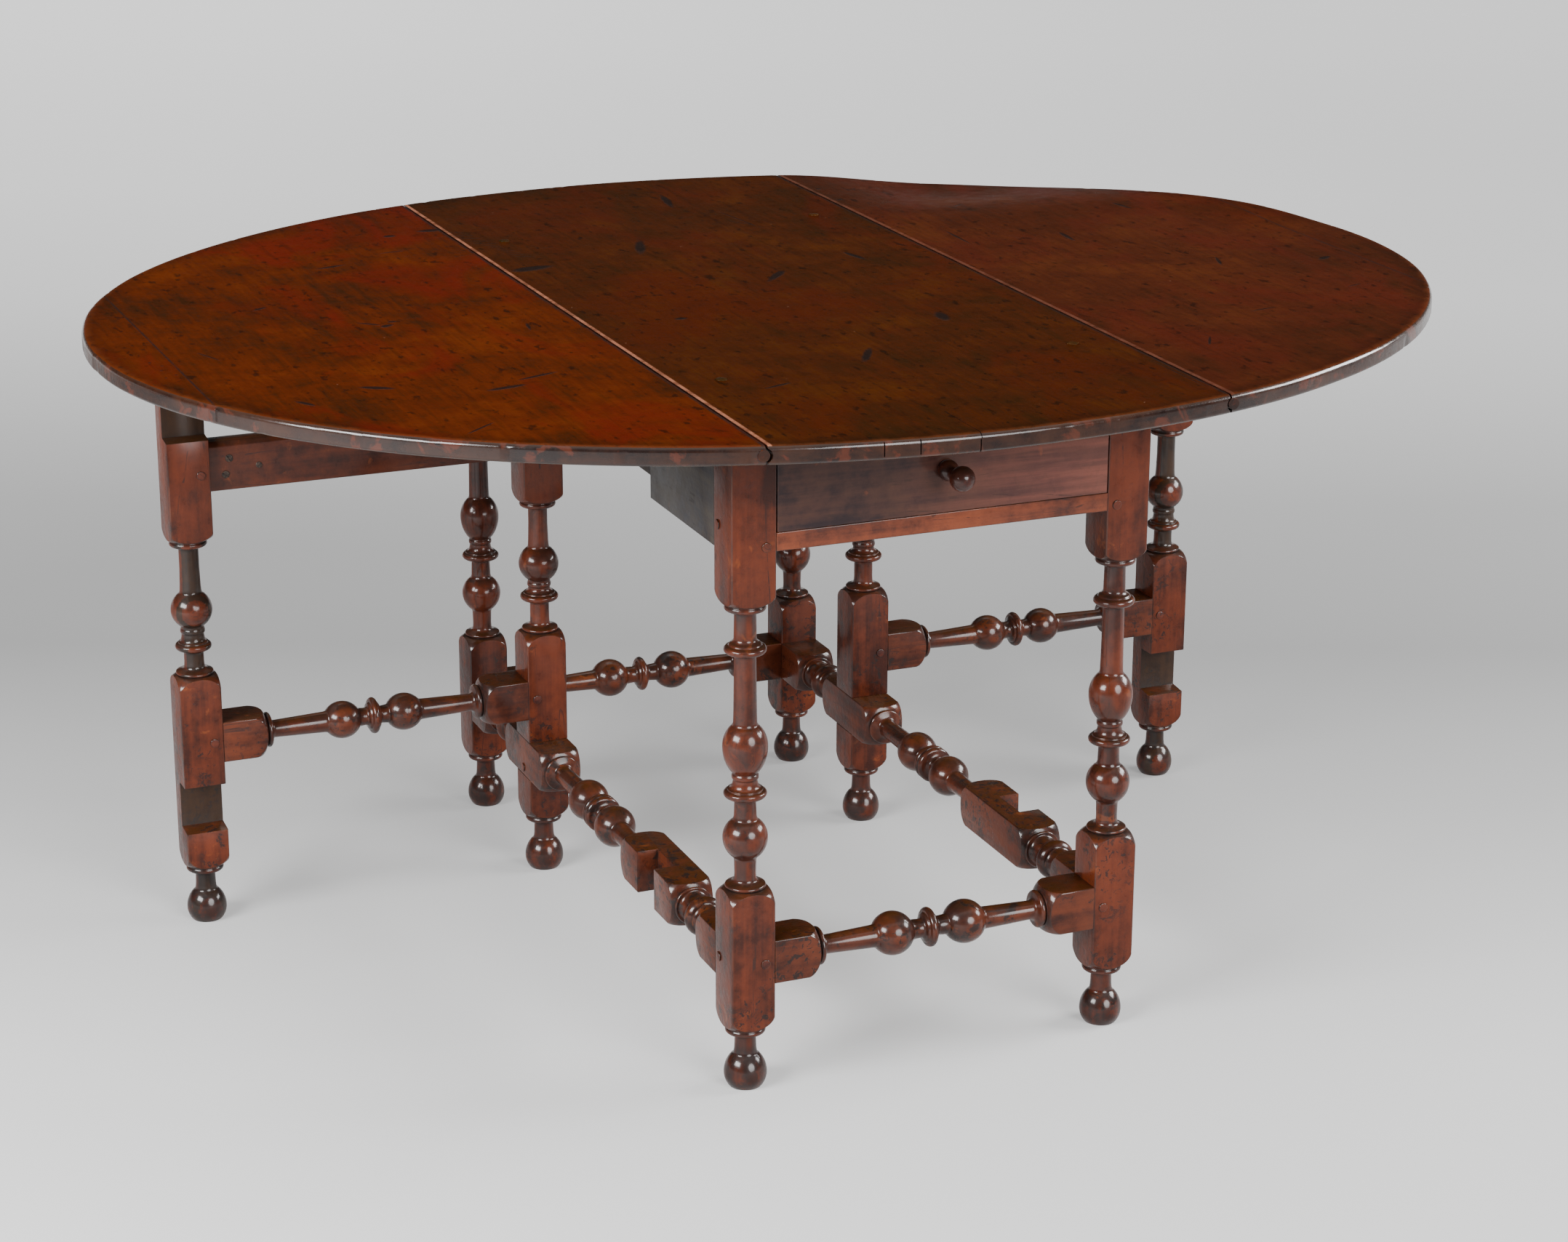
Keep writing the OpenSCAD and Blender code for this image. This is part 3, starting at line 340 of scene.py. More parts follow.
def turn(name, outline, facets=72):
    """Turns an outline round Z: one vertex is extruded from point to point, and the line is spun."""
    start = outline[0]
    bpy.ops.object.select_all(action="DESELECT")
    bpy.ops.mesh.primitive_plane_add(size=MM, location=(start[0] * MM, 0, start[1] * MM))
    piece = named(name)
    bpy.ops.object.mode_set(mode="EDIT")
    bpy.ops.mesh.select_mode(type="VERT")
    bpy.ops.mesh.select_all(action="SELECT")
    bpy.ops.mesh.merge(type="CENTER")
    for (r0, z0), (r1, z1) in zip(outline, outline[1:]):
        bpy.ops.mesh.extrude_vertices_move(
            TRANSFORM_OT_translate={"value": ((r1 - r0) * MM, 0, (z1 - z0) * MM)})
    bpy.ops.mesh.select_all(action="SELECT")
    bpy.ops.mesh.spin(steps=facets, angle=math.tau, center=(0, 0, 0), axis=(0, 0, 1))
    bpy.ops.mesh.select_all(action="SELECT")
    bpy.ops.mesh.remove_doubles(threshold=0.00001)
    bpy.ops.mesh.normals_make_consistent(inside=False)
    bpy.ops.object.mode_set(mode="OBJECT")
    bpy.ops.object.transform_apply(location=True)
    return piece


def planed(name, low, high, arris=1.2, steps=3):
    """Sawn and planed stock between two corners in millimetres, with all its arrises eased."""
    low, high = Vector(low) * MM, Vector(high) * MM
    bpy.ops.object.select_all(action="DESELECT")
    bpy.ops.mesh.primitive_cube_add(size=1, location=(low + high) / 2, scale=high - low)
    piece = named(name)
    bpy.ops.object.transform_apply(location=True, scale=True)
    if arris:
        bpy.ops.object.mode_set(mode="EDIT")
        bpy.ops.mesh.select_all(action="SELECT")
        bpy.ops.mesh.bevel(offset=arris * MM, segments=steps, affect="EDGES")
        bpy.ops.object.mode_set(mode="OBJECT")
    return piece


def pick(piece):
    """Selects one piece alone, and makes it the active one."""
    bpy.ops.object.select_all(action="DESELECT")
    piece.select_set(True)
    bpy.context.view_layer.objects.active = piece


def apply(piece, modifier):
    pick(piece)
    bpy.ops.object.modifier_apply(modifier=modifier.name)


def cut(piece, tool, operation="DIFFERENCE"):
    """Cuts a piece with a tool, which is used up."""
    saw = piece.modifiers.new("cut", "BOOLEAN")
    saw.operation = operation
    saw.solver = "EXACT"
    saw.object = tool
    apply(piece, saw)
    bpy.data.objects.remove(tool)


def soften(piece, width=0.6, steps=2, sharp=38):
    """Rounds the arrises that are still sharp, and shades the rest smooth."""
    round_over = piece.modifiers.new("soften", "BEVEL")
    round_over.width = width * MM
    round_over.segments = steps
    round_over.limit_method = "ANGLE"
    round_over.angle_limit = math.radians(sharp)
    round_over.use_clamp_overlap = True
    apply(piece, round_over)
    bpy.ops.object.shade_smooth_by_angle(angle=math.radians(35))


def squared(name, outline, low, high):
    """A turned outline kept inside square stock, which leaves its blocks square."""
    piece = turn(name, worn(outline))
    stock = planed("stock", (-HALF_W, -HALF_W, low - STOCK_SPARE), (HALF_W, HALF_W, high + STOCK_SPARE))
    cut(piece, stock, "INTERSECT")
    return piece


def moved(piece, name, move=(0, 0, 0), turned=0, mirror=False):
    """A copy of a piece with its own mesh, turned about Z, mirrored across X and moved."""
    copy = piece.copy()
    copy.data = piece.data.copy()
    copy.name = name
    bpy.context.scene.collection.objects.link(copy)
    spot = Matrix.Translation(Vector(move) * MM) @ Matrix.Rotation(turned, 4, "Z")
    if mirror:
        spot = Matrix.Scale(-1, 4, (1, 0, 0)) @ spot
    copy.data.transform(spot)
    if mirror:
        copy.data.flip_normals()
    return copy


def fit(piece, body, slot, *nodes):
    """Puts a finished piece on its body in place of its CAD nodes."""
    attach(piece, body)
    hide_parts(*nodes)


def layered(tree, under, over, amount):
    """One colour laid over another as far as a mask says."""
    over = over if isinstance(over, bpy.types.NodeSocket) else (*over, 1)
    under = under if isinstance(under, bpy.types.NodeSocket) else (*under, 1)
    return add(tree, "Mix", {"Factor": amount, 6: under, 7: over}, data_type="RGBA").outputs[2]


def figure(tree, coords, scale, detail=5, roughness=0.55, distortion=0.0):
    return add(tree, "TexNoise", {"Vector": coords, "Scale": scale, "Detail": detail,
                                  "Roughness": roughness, "Distortion": distortion}).outputs["Fac"]


def sums(tree, first, second, operation="MULTIPLY"):
    return add(tree, "Math", {0: first, 1: second}, operation=operation).outputs[0]


def times_plus(tree, value, factor, more):
    return add(tree, "Math", {0: value, 1: factor, 2: more}, operation="MULTIPLY_ADD").outputs[0]


def stretched(tree, coords, scale=(1, 1, 1), move=(0, 0, 0)):
    """The coordinates scaled each way, then moved."""
    return add(tree, "Mapping", {"Vector": coords, "Scale": scale, "Location": move}).outputs["Vector"]


def raised(tree, shader, relief, distance, strength):
    """Dents and raises the surface by a relief, whose full height is a distance in metres."""
    made = add(tree, "Bump", {"Height": relief, "Distance": distance, "Strength": strength})
    tree.links.new(made.outputs[0], shader.inputs["Normal"])


def arris_mask(tree, radius):
    """How far a spot lies on an arris, from 0 on a flat face to 1."""
    flat = add(tree, "NewGeometry").outputs["Normal"]
    rounded = add(tree, "Bevel", {"Radius": radius}, samples=4).outputs["Normal"]
    return spread(tree, dot(tree, flat, rounded), 0.995, 0.86)


BLACK = (0.010, 0.0075, 0.007)
TOP_DIRT = (0.036, 0.0125, 0.0030)


def crazed(tree, coords, scale, width):
    """Thin wandering lines, where paint has split or been scratched."""
    off_line = sums(tree, sums(tree, figure(tree, coords, scale, 3, 0.5), 0.5, "SUBTRACT"), 0, "ABSOLUTE")
    return spread(tree, off_line, width, width * 0.4)


def paint(name, grain, red=(0.060, 0.0125, 0.0052), worn_red=(0.20, 0.050, 0.012), gloss=0.34, black=1.0,
          rubbed=0.0, varnish=0.45, low_feet=False, painted_light_end=None):
    """Old red-brown paint under varnish: streaked along the grain, rubbed orange or black at the arrises,
    brown with dirt on faces that look up, darkened by grime in fine grooves and by painted shade in wider
    hollows, and chipped down to black. grain says how the pattern is stretched each way, rubbed widens the
    orange patches, and the last argument is (from x, to x, colour) of a stretch painted lighter as painted
    light."""
    material, tree, shader, coords = fresh_material(name)
    along = stretched(tree, coords, grain)
    broad = figure(tree, coords, 9)
    mottle = figure(tree, coords, 62, 8, 0.66)
    fibre = figure(tree, along, 230, 4)
    stroke = figure(tree, along, 95, 5, 0.6)
    blend = times_plus(tree, stroke, 0.7, times_plus(tree, mottle, 0.6, broad))
    dull = tuple(c * f for c, f in zip(red, (0.42, 0.52, 0.75)))
    bright = tuple(c * f for c, f in zip(red, (1.40, 1.35, 1.15)))
    colour = ramp(tree, spread(tree, blend, 0.96, 1.34), ((0, dull), (0.5, red), (1, bright)))
    # Painted light: a stretch along X is painted lighter, where the lamps fall more strongly on the piece.
    if painted_light_end:
        from_x, to_x, light = painted_light_end
        lit_span = spread(tree, axis(tree, coords, "X"), from_x, to_x)
        colour = layered(tree, colour, light, sums(tree, lit_span, spread(tree, stroke, 0.40, 0.60, 0.45, 0.95)))
    facing = add(tree, "SeparateXYZ", {"Vector": add(tree, "NewGeometry").outputs["Normal"]})
    settled = sums(tree, spread(tree, facing.outputs["Z"], 0.55, 0.95),
                   spread(tree, mottle, 0.60, 0.42, 0.45, 0.9))
    colour = layered(tree, colour, TOP_DIRT, settled)
    square = [sums(tree, facing.outputs[way], 0, "ABSOLUTE") for way in "XYZ"]
    flat = sums(tree, sums(tree, square[0], square[1], "MAXIMUM"), square[2], "MAXIMUM")
    cloudy = spread(tree, figure(tree, coords, 27, 5), 0.44, 0.56, 0.1, 1)
    turned = sums(tree, spread(tree, flat, 0.99, 0.93), cloudy)
    colour = layered(tree, colour, BLACK, sums(tree, turned, 0.55 * black))

    arris = arris_mask(tree, 0.0024)
    spots = figure(tree, coords, 31, 5, 0.6, 0.5)
    orange = sums(tree, sums(tree, arris, spread(tree, spots, 0.50, 0.58, 0, 0.8)),
                  spread(tree, spots, 0.64 - rubbed, 0.69 - rubbed, 0, 0.35 + 4 * rubbed), "MAXIMUM")
    colour = layered(tree, colour, worn_red, sums(tree, orange, 0.8))
    # Ambient occlusion darkens the paint: grime in the fine grooves, and painted shade in the wider hollows
    # such as the necks.
    groove = add(tree, "AmbientOcclusion", {"Distance": 0.012}, samples=4, only_local=True).outputs["AO"]
    hollow = add(tree, "AmbientOcclusion", {"Distance": 0.05}, samples=4, only_local=True).outputs["AO"]
    grime_and_shade = sums(tree, spread(tree, groove, 0.92, 0.5, 0, 0.9), spread(tree, hollow, 0.82, 0.45, 0, 0.7),
                 "MAXIMUM")
    colour = layered(tree, colour, BLACK, sums(tree, grime_and_shade, spread(tree, mottle, 0.62, 0.42, 0.55, 1)))
    fleck = sums(tree, spread(tree, figure(tree, coords, 150, 4, 0.6, 0.8), 0.57, 0.595),
                 spread(tree, figure(tree, coords, 15, 3), 0.47, 0.55))
    chips = sums(tree, spread(tree, figure(tree, coords, 48, 8, 0.75, 0.5), 0.55, 0.575),
                 spread(tree, figure(tree, coords, 8, 2), 0.48, 0.56))
    height = axis(tree, coords, "Z")
    knocked = sums(tree, sums(tree, fleck, chips, "MAXIMUM"), spread(tree, height, 0.50, 0.16, 0.2, 1))
    rubbed_black = sums(tree, arris, spread(tree, mottle, 0.40, 0.53, 0.1, 0.9))
    splits = sums(tree, crazed(tree, along, 26, 0.006), spread(tree, mottle, 0.48, 0.56, 0, 0.8))
    dirt = sums(tree, knocked, sums(tree, rubbed_black, splits, "MAXIMUM"), "MAXIMUM")
    dirt = sums(tree, dirt, 0.85 * black)
    if low_feet:
        scuffed = sums(tree, spread(tree, height, 0.058, 0.040), spread(tree, mottle, 0.42, 0.54, 0.1, 1))
        dirt = sums(tree, dirt, sums(tree, scuffed, 0.8), "MAXIMUM")
    colour = layered(tree, colour, BLACK, dirt)
    tree.links.new(colour, shader.inputs["Base Color"])

    tree.links.new(spread(tree, mottle, 0.35, 0.65, gloss - 0.08, gloss + 0.14), shader.inputs["Roughness"])
    dimples = figure(tree, coords, 140, 2)
    relief = sums(tree, times_plus(tree, fibre, 0.25, sums(tree, mottle, 0.5)),
                  times_plus(tree, dirt, -0.22, dimples), "ADD")
    raised(tree, shader, relief, 0.0012, 0.45)
    shader.inputs["Specular IOR Level"].default_value = 0.06
    tree.links.new(spread(tree, flat, 0.99, 0.90, 0.6 * varnish, 1.2 * varnish), shader.inputs["Coat Weight"])
    shader.inputs["Coat Roughness"].default_value = 0.16
    return material


upright_paint = paint("upright_paint", (1, 1, 0.06), low_feet=True)
LEG_X = 204.5
LEG_Y = 425.5
leg_pattern = squared("leg_pattern", corner_leg_outline(), 0, UNDER_Z - STOCK_SPARE)
soften(leg_pattern)
coat(leg_pattern, upright_paint)
for end, y in (("front", -LEG_Y), ("back", LEG_Y)):
    for side, x in (("left", -LEG_X), ("right", LEG_X)):
        leg = moved(leg_pattern, f"turned_leg_{end}_{side}", (x, y, 0),
                    turned=math.pi / 2 * (2 * (end == "back") + (side == "right")))
        fit(leg, "frame", "frame_paint", f"leg_{end}_{side}")
bpy.data.objects.remove(leg_pattern)

# End stretchers: turned from the same square stock, with a block left at each end for its tenon.
# A ball stands on each side of the middle ring. They join the front legs and the back legs.
BLOCK_L = 52
STRETCHER_BALL_R = 23.2
STRETCHER_RING_R = 21
FACE_X = LEG_X - HALF_W
FACE_Y = LEG_Y - HALF_W


def stretcher_outline(half_l, pitch, ball_r):
    """Half the outline from the middle ring out to the end block, and the same upended."""
    s = half_l - BLOCK_L
    half = (arc(STRETCHER_RING_R - 4, 0, 4, 4, 0, 90, 8)
            + [(NECK_R + 5, 4.2), (NECK_R + 4, 6.2), (NECK_R, 7.2), (NECK_R - 1, 9.5)]
            + egg(pitch, pitch - ball_r * 0.9, pitch + ball_r * 0.85, ball_r, NECK_R - 0.2, NECK_R + 1.5)
            + [(NECK_R + 0.9, pitch + ball_r * 0.85 + 3), (NECK_R - 1, s - COLLAR_H - 6)]
            + [(NECK_R + 0.5, s - COLLAR_H - 3.2), (NECK_R + 4, s - COLLAR_H - 2.4)]
            + bead(s - COLLAR_H - 2, s - 1.2, COLLAR_R - 0.8, 8) + [(COLLAR_R - 1.8, s - 0.8)]
            + shoulder_in(s + shoulder_reach()))
    return ([(0, -half_l), (CORNER_R, -half_l)] + upended(half, 0) + half[1:]
            + [(CORNER_R, half_l), (0, half_l)])


def laid(piece, way):
    """Lays an upright piece down along X or Y."""
    pick(piece)
    piece.rotation_euler = (0, math.pi / 2, 0) if way == "X" else (-math.pi / 2, 0, 0)
    bpy.ops.object.transform_apply(rotation=True)


across_paint = paint("across_paint", (0.06, 1, 1), red=(0.055, 0.0130, 0.0058))
pattern = squared("pattern", stretcher_outline(FACE_X, 41, STRETCHER_BALL_R), -FACE_X, FACE_X)
laid(pattern, "X")
soften(pattern)
coat(pattern, across_paint)
for end, y in (("front", -LEG_Y), ("back", LEG_Y)):
    stretcher = moved(pattern, f"turned_end_stretcher_{end}", (0, y, STRETCHER_Z),
                      turned=math.pi * (end == "back"))
    fit(stretcher, "frame", "frame_paint", f"end_stretcher_{end}")
bpy.data.objects.remove(pattern)

# Side stretchers: one long turning each, with four square blocks. The gate's pivot stands on one
# block, and another is notched from outside, where the gate's outer leg laps over it when shut.
PIVOT_Y = 206
GATE_REACH = 406
CLOSED_Y = PIVOT_Y - GATE_REACH
END_BLOCK_L = 57
LAP_BLOCK_HALF = 79
PIVOT_BLOCK_HALF = 68
NOTCH_HALF = HALF_W + 2
LAP_PLAY = 0.5
PINTLE_R = 8
PINTLE_L = 22
BORE_R = PINTLE_R + 0.05
STRETCHER_TOP_Z = STRETCHER_Z + HALF_W
SIDE_BALL_PITCH = 43
MID_RING_Y = 2


def double_flare(z0, z1):
    """A hollow between two heights, upright in its middle."""
    m = (z0 + z1) / 2
    return (upended(flare(NECK_R + 3, z0, COLLAR_R - 3, m), (z0 + m) / 2)
            + flare(NECK_R + 3, m, COLLAR_R - 3, z1)[1:])


def reel(z0, z1):
    """The reel between two blocks, with both of their shoulders."""
    m = (z0 + z1) / 2
    return (shoulder_out(z0 - shoulder_reach()) + bead(z0 + 0.5, z0 + 4, COLLAR_R, 6)
            + double_flare(z0 + 4, m - 9) + bead(m - 9, m + 9, 22, 14) + double_flare(m + 9, z1 - 4)
            + bead(z1 - 4, z1 - 0.5, COLLAR_R, 6) + shoulder_in(z1 + shoulder_reach()))


def collar_before(z):
    """A collar that leads from a neck to the block at z."""
    return ([(NECK_R - 0.4, z - COLLAR_H - 6), (NECK_R + 0.8, z - COLLAR_H - 2.5)]
            + [(NECK_R + 4, z - COLLAR_H - 1.2)] + bead(z - COLLAR_H, z - 0.5, COLLAR_R, 8))


def side_stretcher_outline():
    """From front to back: block, reel, lap block, two balls and two rings, pivot block, reel, block."""
    s0 = CLOSED_Y + LAP_BLOCK_HALF
    s1 = PIVOT_Y - PIVOT_BLOCK_HALF
    r = STRETCHER_BALL_R
    b0 = MID_RING_Y - SIDE_BALL_PITCH
    b1 = MID_RING_Y + SIDE_BALL_PITCH
    m = MID_RING_Y
    return ([(0, -FACE_Y), (CORNER_R, -FACE_Y)] + reel(END_BLOCK_L - FACE_Y, CLOSED_Y - LAP_BLOCK_HALF)
            + shoulder_out(s0 - shoulder_reach()) + upended(collar_before(0), s0 / 2)
            + [(NECK_R + 0.6, b0 - r * 0.85 - 3)]
            + egg(b0, b0 - r * 0.85, b0 + r * 0.9, r, NECK_R + 1.5, NECK_R)
            + [(NECK_R - 1, m - 11), (NECK_R + 3, m - 9)] + bead(m - 8.4, m - 0.4, STRETCHER_RING_R)
            + bead(m + 0.4, m + 8.4, STRETCHER_RING_R) + [(NECK_R + 3, m + 9), (NECK_R - 1, m + 11)]
            + egg(b1, b1 - r * 0.9, b1 + r * 0.85, r, NECK_R, NECK_R + 1.5)
            + [(NECK_R + 0.6, b1 + r * 0.85 + 3)] + collar_before(s1)
            + shoulder_in(s1 + shoulder_reach()) + reel(PIVOT_Y + PIVOT_BLOCK_HALF, FACE_Y - END_BLOCK_L)
            + [(CORNER_R, FACE_Y), (0, FACE_Y)])


def bore(name, x, y, low, high, r=BORE_R):
    """A drill for an upright hole, in millimetres."""
    bpy.ops.object.select_all(action="DESELECT")
    bpy.ops.mesh.primitive_cylinder_add(vertices=48, radius=r * MM, depth=(high - low) * MM,
                                        location=(x * MM, y * MM, (low + high) / 2 * MM))
    return named(name)


def pair(pattern, name, slot, node):
    """Fits a left piece and its mirrored twin to the frame, and clears the pattern away."""
    for side in ("left", "right"):
        piece = moved(pattern, f"{name}_{side}", mirror=side == "right")
        fit(piece, "frame", slot, f"{node}_{side}")
    bpy.data.objects.remove(pattern)


along_paint = paint("along_paint", (1, 0.06, 1), red=(0.057, 0.0132, 0.0058))
pattern = squared("pattern", side_stretcher_outline(), -FACE_Y, FACE_Y)
laid(pattern, "Y")
pattern.data.transform(Matrix.Translation(Vector((-LEG_X, 0, STRETCHER_Z)) * MM))
cut(pattern, planed("saw", (-LEG_X - 50, CLOSED_Y - NOTCH_HALF, 60),
                    (-LEG_X + LAP_PLAY, CLOSED_Y + NOTCH_HALF, 220), arris=0))
cut(pattern, bore("drill", -LEG_X, PIVOT_Y, STRETCHER_TOP_Z - PINTLE_L - 1, 220))
soften(pattern)
coat(pattern, along_paint)
pair(pattern, "turned_side_stretcher", "frame_paint", "side_stretcher")

# Pivot feet: a short block with a ball foot, tenoned under each side stretcher below the gate's
# pivot, so that the weight of the gate goes straight to the floor.
FOOT_TOP_Z = STRETCHER_Z - HALF_W
pattern = squared("pattern", foot(BLOCK_LOW_Z) + [(CORNER_R, FOOT_TOP_Z), (0, FOOT_TOP_Z)], 0, FOOT_TOP_Z)
coat(pattern, upright_paint)
for side, x in (("left", -LEG_X), ("right", LEG_X)):
    block = moved(pattern, f"turned_pivot_foot_{side}", (x, PIVOT_Y, 0))
    soften(block)
    fit(block, "frame", "frame_paint", f"pivot_foot_{side}")
bpy.data.objects.remove(pattern)

# Side rails: deep boards of full leg stock at both ends, tenoned into the legs. They are cut back
# on the outside over the stretch into which a gate's outer leg and rail fold.
RAIL_THIN = 18
THICK_END_Y = PIVOT_Y - 28
side_paint = paint("side_rail_paint", (1, 0.05, 1), red=(0.036, 0.030, 0.028), worn_red=(0.12, 0.045, 0.025),
                   gloss=0.42)
pattern = planed("pattern", (-LEG_X - HALF_W, -FACE_Y, RAIL_Z), (-FACE_X, FACE_Y, UNDER_Z), arris=0)
cut(pattern, planed("saw", (-LEG_X - 40, CLOSED_Y - NOTCH_HALF, RAIL_Z - 5),
                    (-FACE_X - RAIL_THIN, THICK_END_Y, UNDER_Z + 5), arris=0))
cut(pattern, bore("drill", -LEG_X, PIVOT_Y, RAIL_Z - 5, RAIL_Z + PINTLE_L + 1))
soften(pattern, 0.9)
coat(pattern, side_paint)
pair(pattern, "planed_side_rail", "rail_paint", "side_rail")

# Back rail and drawer rail: planed boards tenoned between the back legs and, as a low bar that
# carries the drawer, between the front legs.
BACK_RAIL_Y = LEG_Y + HALF_W - 15
DRAWER_RAIL_Z = RAIL_Z + 2
RUNNER_TOP_Z = DRAWER_RAIL_Z + 19
FRONT_Y = -LEG_Y - HALF_W
THIN_HALF = 12.5
BOARD_ARRIS = 0.9
back_rail = planed("planed_back_rail", (-FACE_X, BACK_RAIL_Y - THIN_HALF, RAIL_Z),
                   (FACE_X, BACK_RAIL_Y + THIN_HALF, UNDER_Z), BOARD_ARRIS)
bpy.ops.object.shade_smooth_by_angle(angle=math.radians(35))
coat(back_rail, across_paint)
fit(back_rail, "frame", "frame_paint", "back_rail")
drawer_rail = planed("planed_drawer_rail", (-FACE_X, FRONT_Y, DRAWER_RAIL_Z), (FACE_X, -FACE_Y, RUNNER_TOP_Z),
                     BOARD_ARRIS)
bpy.ops.object.shade_smooth_by_angle(angle=math.radians(35))
# The drawer rail is painted a lighter red than the other rails: painted light, for the light that reaches it
# under the top.
coat(drawer_rail, paint("drawer_rail_lit_paint", (0.06, 1, 1), red=(0.105, 0.027, 0.013)))
fit(drawer_rail, "frame", "frame_paint", "drawer_rail")

# Pegs: riven oak pins, whittled roughly round and driven through each tenon. The wood round them
# has shrunk, and they stand a little proud.
PEG_R = 5
PEG_PROUD = 1.4
PEG_IN = 10.5


def peg_head(name, r=PEG_R, proud=PEG_PROUD):
    """One peg whose head looks towards -Y, domed and not quite round."""
    bpy.ops.object.select_all(action="DESELECT")
    bpy.ops.mesh.primitive_cylinder_add(vertices=20, radius=r * MM, depth=(proud + 6) * MM,
                                        location=(0, (6 - proud) / 2 * MM, 0), rotation=(math.pi / 2, 0, 0))
    piece = named(name)
    bpy.ops.object.transform_apply(location=True, rotation=True)
    soften(piece, 0.7, 3, 60)
    for v in piece.data.vertices:
        v.co.x += 0.5 * MM * noise.noise(Vector((v.co.x * 180, 3, v.co.z * 180)))
        v.co.z += 0.5 * MM * noise.noise(Vector((v.co.x * 180, 9, v.co.z * 180)))
    return piece


def joined(name, parts):
    """Makes one piece of several that are of one kind."""
    bpy.ops.object.select_all(action="DESELECT")
    for part in parts:
        part.select_set(True)
    bpy.context.view_layer.objects.active = parts[0]
    bpy.ops.object.join()
    parts[0].name = name
    return parts[0]


peg_paint = paint("peg_paint", (1, 1, 1), red=(0.058, 0.0135, 0.0075))
peg_pattern = peg_head("peg_pattern")
# The sides of each peg head take a near-black second paint: painted shade round the proud head.
coat(peg_pattern, peg_paint, paint("peg_side_shade_paint", (1, 1, 1), red=(0.012, 0.006, 0.004)))
for face in peg_pattern.data.polygons:
    face.material_index = 1 if abs(face.normal.y) < 0.6 else 0
RAIL_PEG_ZS = (STRETCHER_Z, RAIL_Z + 25, UNDER_Z - 25)
pegs = []
for sy in (-1, 1):
    for sx in (-1, 1):
        for z in RAIL_PEG_ZS:
            pegs.append(moved(peg_pattern, "peg", (sx * (LEG_X + HALF_W), sy * (FACE_Y + PEG_IN), z),
                              turned=sx * math.pi / 2))
        for z in RAIL_PEG_ZS if sy > 0 else (STRETCHER_Z, DRAWER_RAIL_Z + 5.5):
            pegs.append(moved(peg_pattern, "peg", (sx * (FACE_X + PEG_IN), sy * (LEG_Y + HALF_W), z),
                              turned=math.pi * (sy > 0)))
for sx in (-1, 1):
    pegs.append(moved(peg_pattern, "peg", (sx * (LEG_X + HALF_W), PIVOT_Y, FOOT_TOP_Z + 9.5),
                      turned=sx * math.pi / 2))
fit(joined("driven_frame_pegs", pegs), "frame", "frame_paint", "frame_pegs")

# Gates: each has an inner leg that turns on pintles, an outer leg with its own foot, a flat top
# rail and a turned stretcher. The outer leg is halved and rebated to fold flush with the frame.
GATE_LEG_X = LEG_X + GATE_REACH
GATE_STRETCHER_Z = 216.5
GATE_BLOCK_Z = GATE_STRETCHER_Z + BLOCK_UP
GATE_RAIL_TOP_Z = RAIL_Z - 14
GATE_RAIL_Z = GATE_RAIL_TOP_Z - 55
GATE_HEAD_Z = GATE_RAIL_Z - HEAD_UNDER
GATE_RING_R = 20.3
PLAY = 0.3


def gate_leg_outline(ring_up, ring_h, ring_r):
    """The turned stretch of a gate leg, from its lower block to its head."""
    s = GATE_BLOCK_Z + shoulder_reach()
    ring = GATE_BLOCK_Z + ring_up
    top = ring + ring_h
    up = GATE_HEAD_Z - shoulder_reach(HEAD_SHOULDER_H)
    return (shoulder_out(GATE_BLOCK_Z) + collar_up(s) + ring_group(ring, ring_h, ring_r)
            + egg(top + 21.5, top + 3, top + 41, LEG_BALL_R, NECK_R + 2, NECK_R + 1.8)
            + [(NECK_R + 1, top + 43.5), (NECK_R + 0.6, top + 50), (NECK_R, top + 70)]
            + bead_under(up) + shoulder_in(GATE_HEAD_Z, HEAD_SHOULDER_H))


def recess(depth, low, high):
    """A saw for a recess across the front of a gate leg, whose sill slopes outwards."""
    saw = planed("saw", (-50, -HALF_W - 20, low), (50, -HALF_W + depth, high), arris=0)
    for v in saw.data.vertices:
        if v.co.z < (low + 1) * MM and v.co.y < -HALF_W * MM:
            v.co.z -= 2.5 * (20 + depth) / depth * MM
    return saw


def edges_planed(piece, width, steps, chosen):
    """Planes off the edges whose two ends both pass a test."""
    bpy.ops.object.mode_set(mode="EDIT")
    bpy.ops.mesh.select_mode(type="EDGE")
    bpy.ops.mesh.select_all(action="DESELECT")
    bpy.ops.object.mode_set(mode="OBJECT")
    for e in piece.data.edges:
        e.select = all(chosen(piece.data.vertices[i].co) for i in e.vertices)
    bpy.ops.object.mode_set(mode="EDIT")
    bpy.ops.mesh.bevel(offset=width * MM, segments=steps, affect="EDGES")
    bpy.ops.object.mode_set(mode="OBJECT")


low_z = STRETCHER_TOP_Z + PLAY
high_z = RAIL_Z - PLAY
low_pintle = [(0, low_z - PINTLE_L), (PINTLE_R, low_z - PINTLE_L), (PINTLE_R, low_z), (CORNER_R, low_z)]
high_pintle = [(CORNER_R, high_z), (PINTLE_R, high_z), (PINTLE_R, high_z + PINTLE_L), (0, high_z + PINTLE_L)]
inner_leg = squared("inner_leg", low_pintle + gate_leg_outline(53, 25, LEG_RING_R) + high_pintle,
                    low_z - 40, high_z + 40)
soften(inner_leg)
coat(inner_leg, upright_paint)
gate_top_z = UNDER_Z - PLAY
outer_leg = squared("outer_leg", foot(BLOCK_LOW_Z) + gate_leg_outline(45, 28, GATE_RING_R)
                    + [(CORNER_R, gate_top_z), (0, gate_top_z)], 0, gate_top_z)
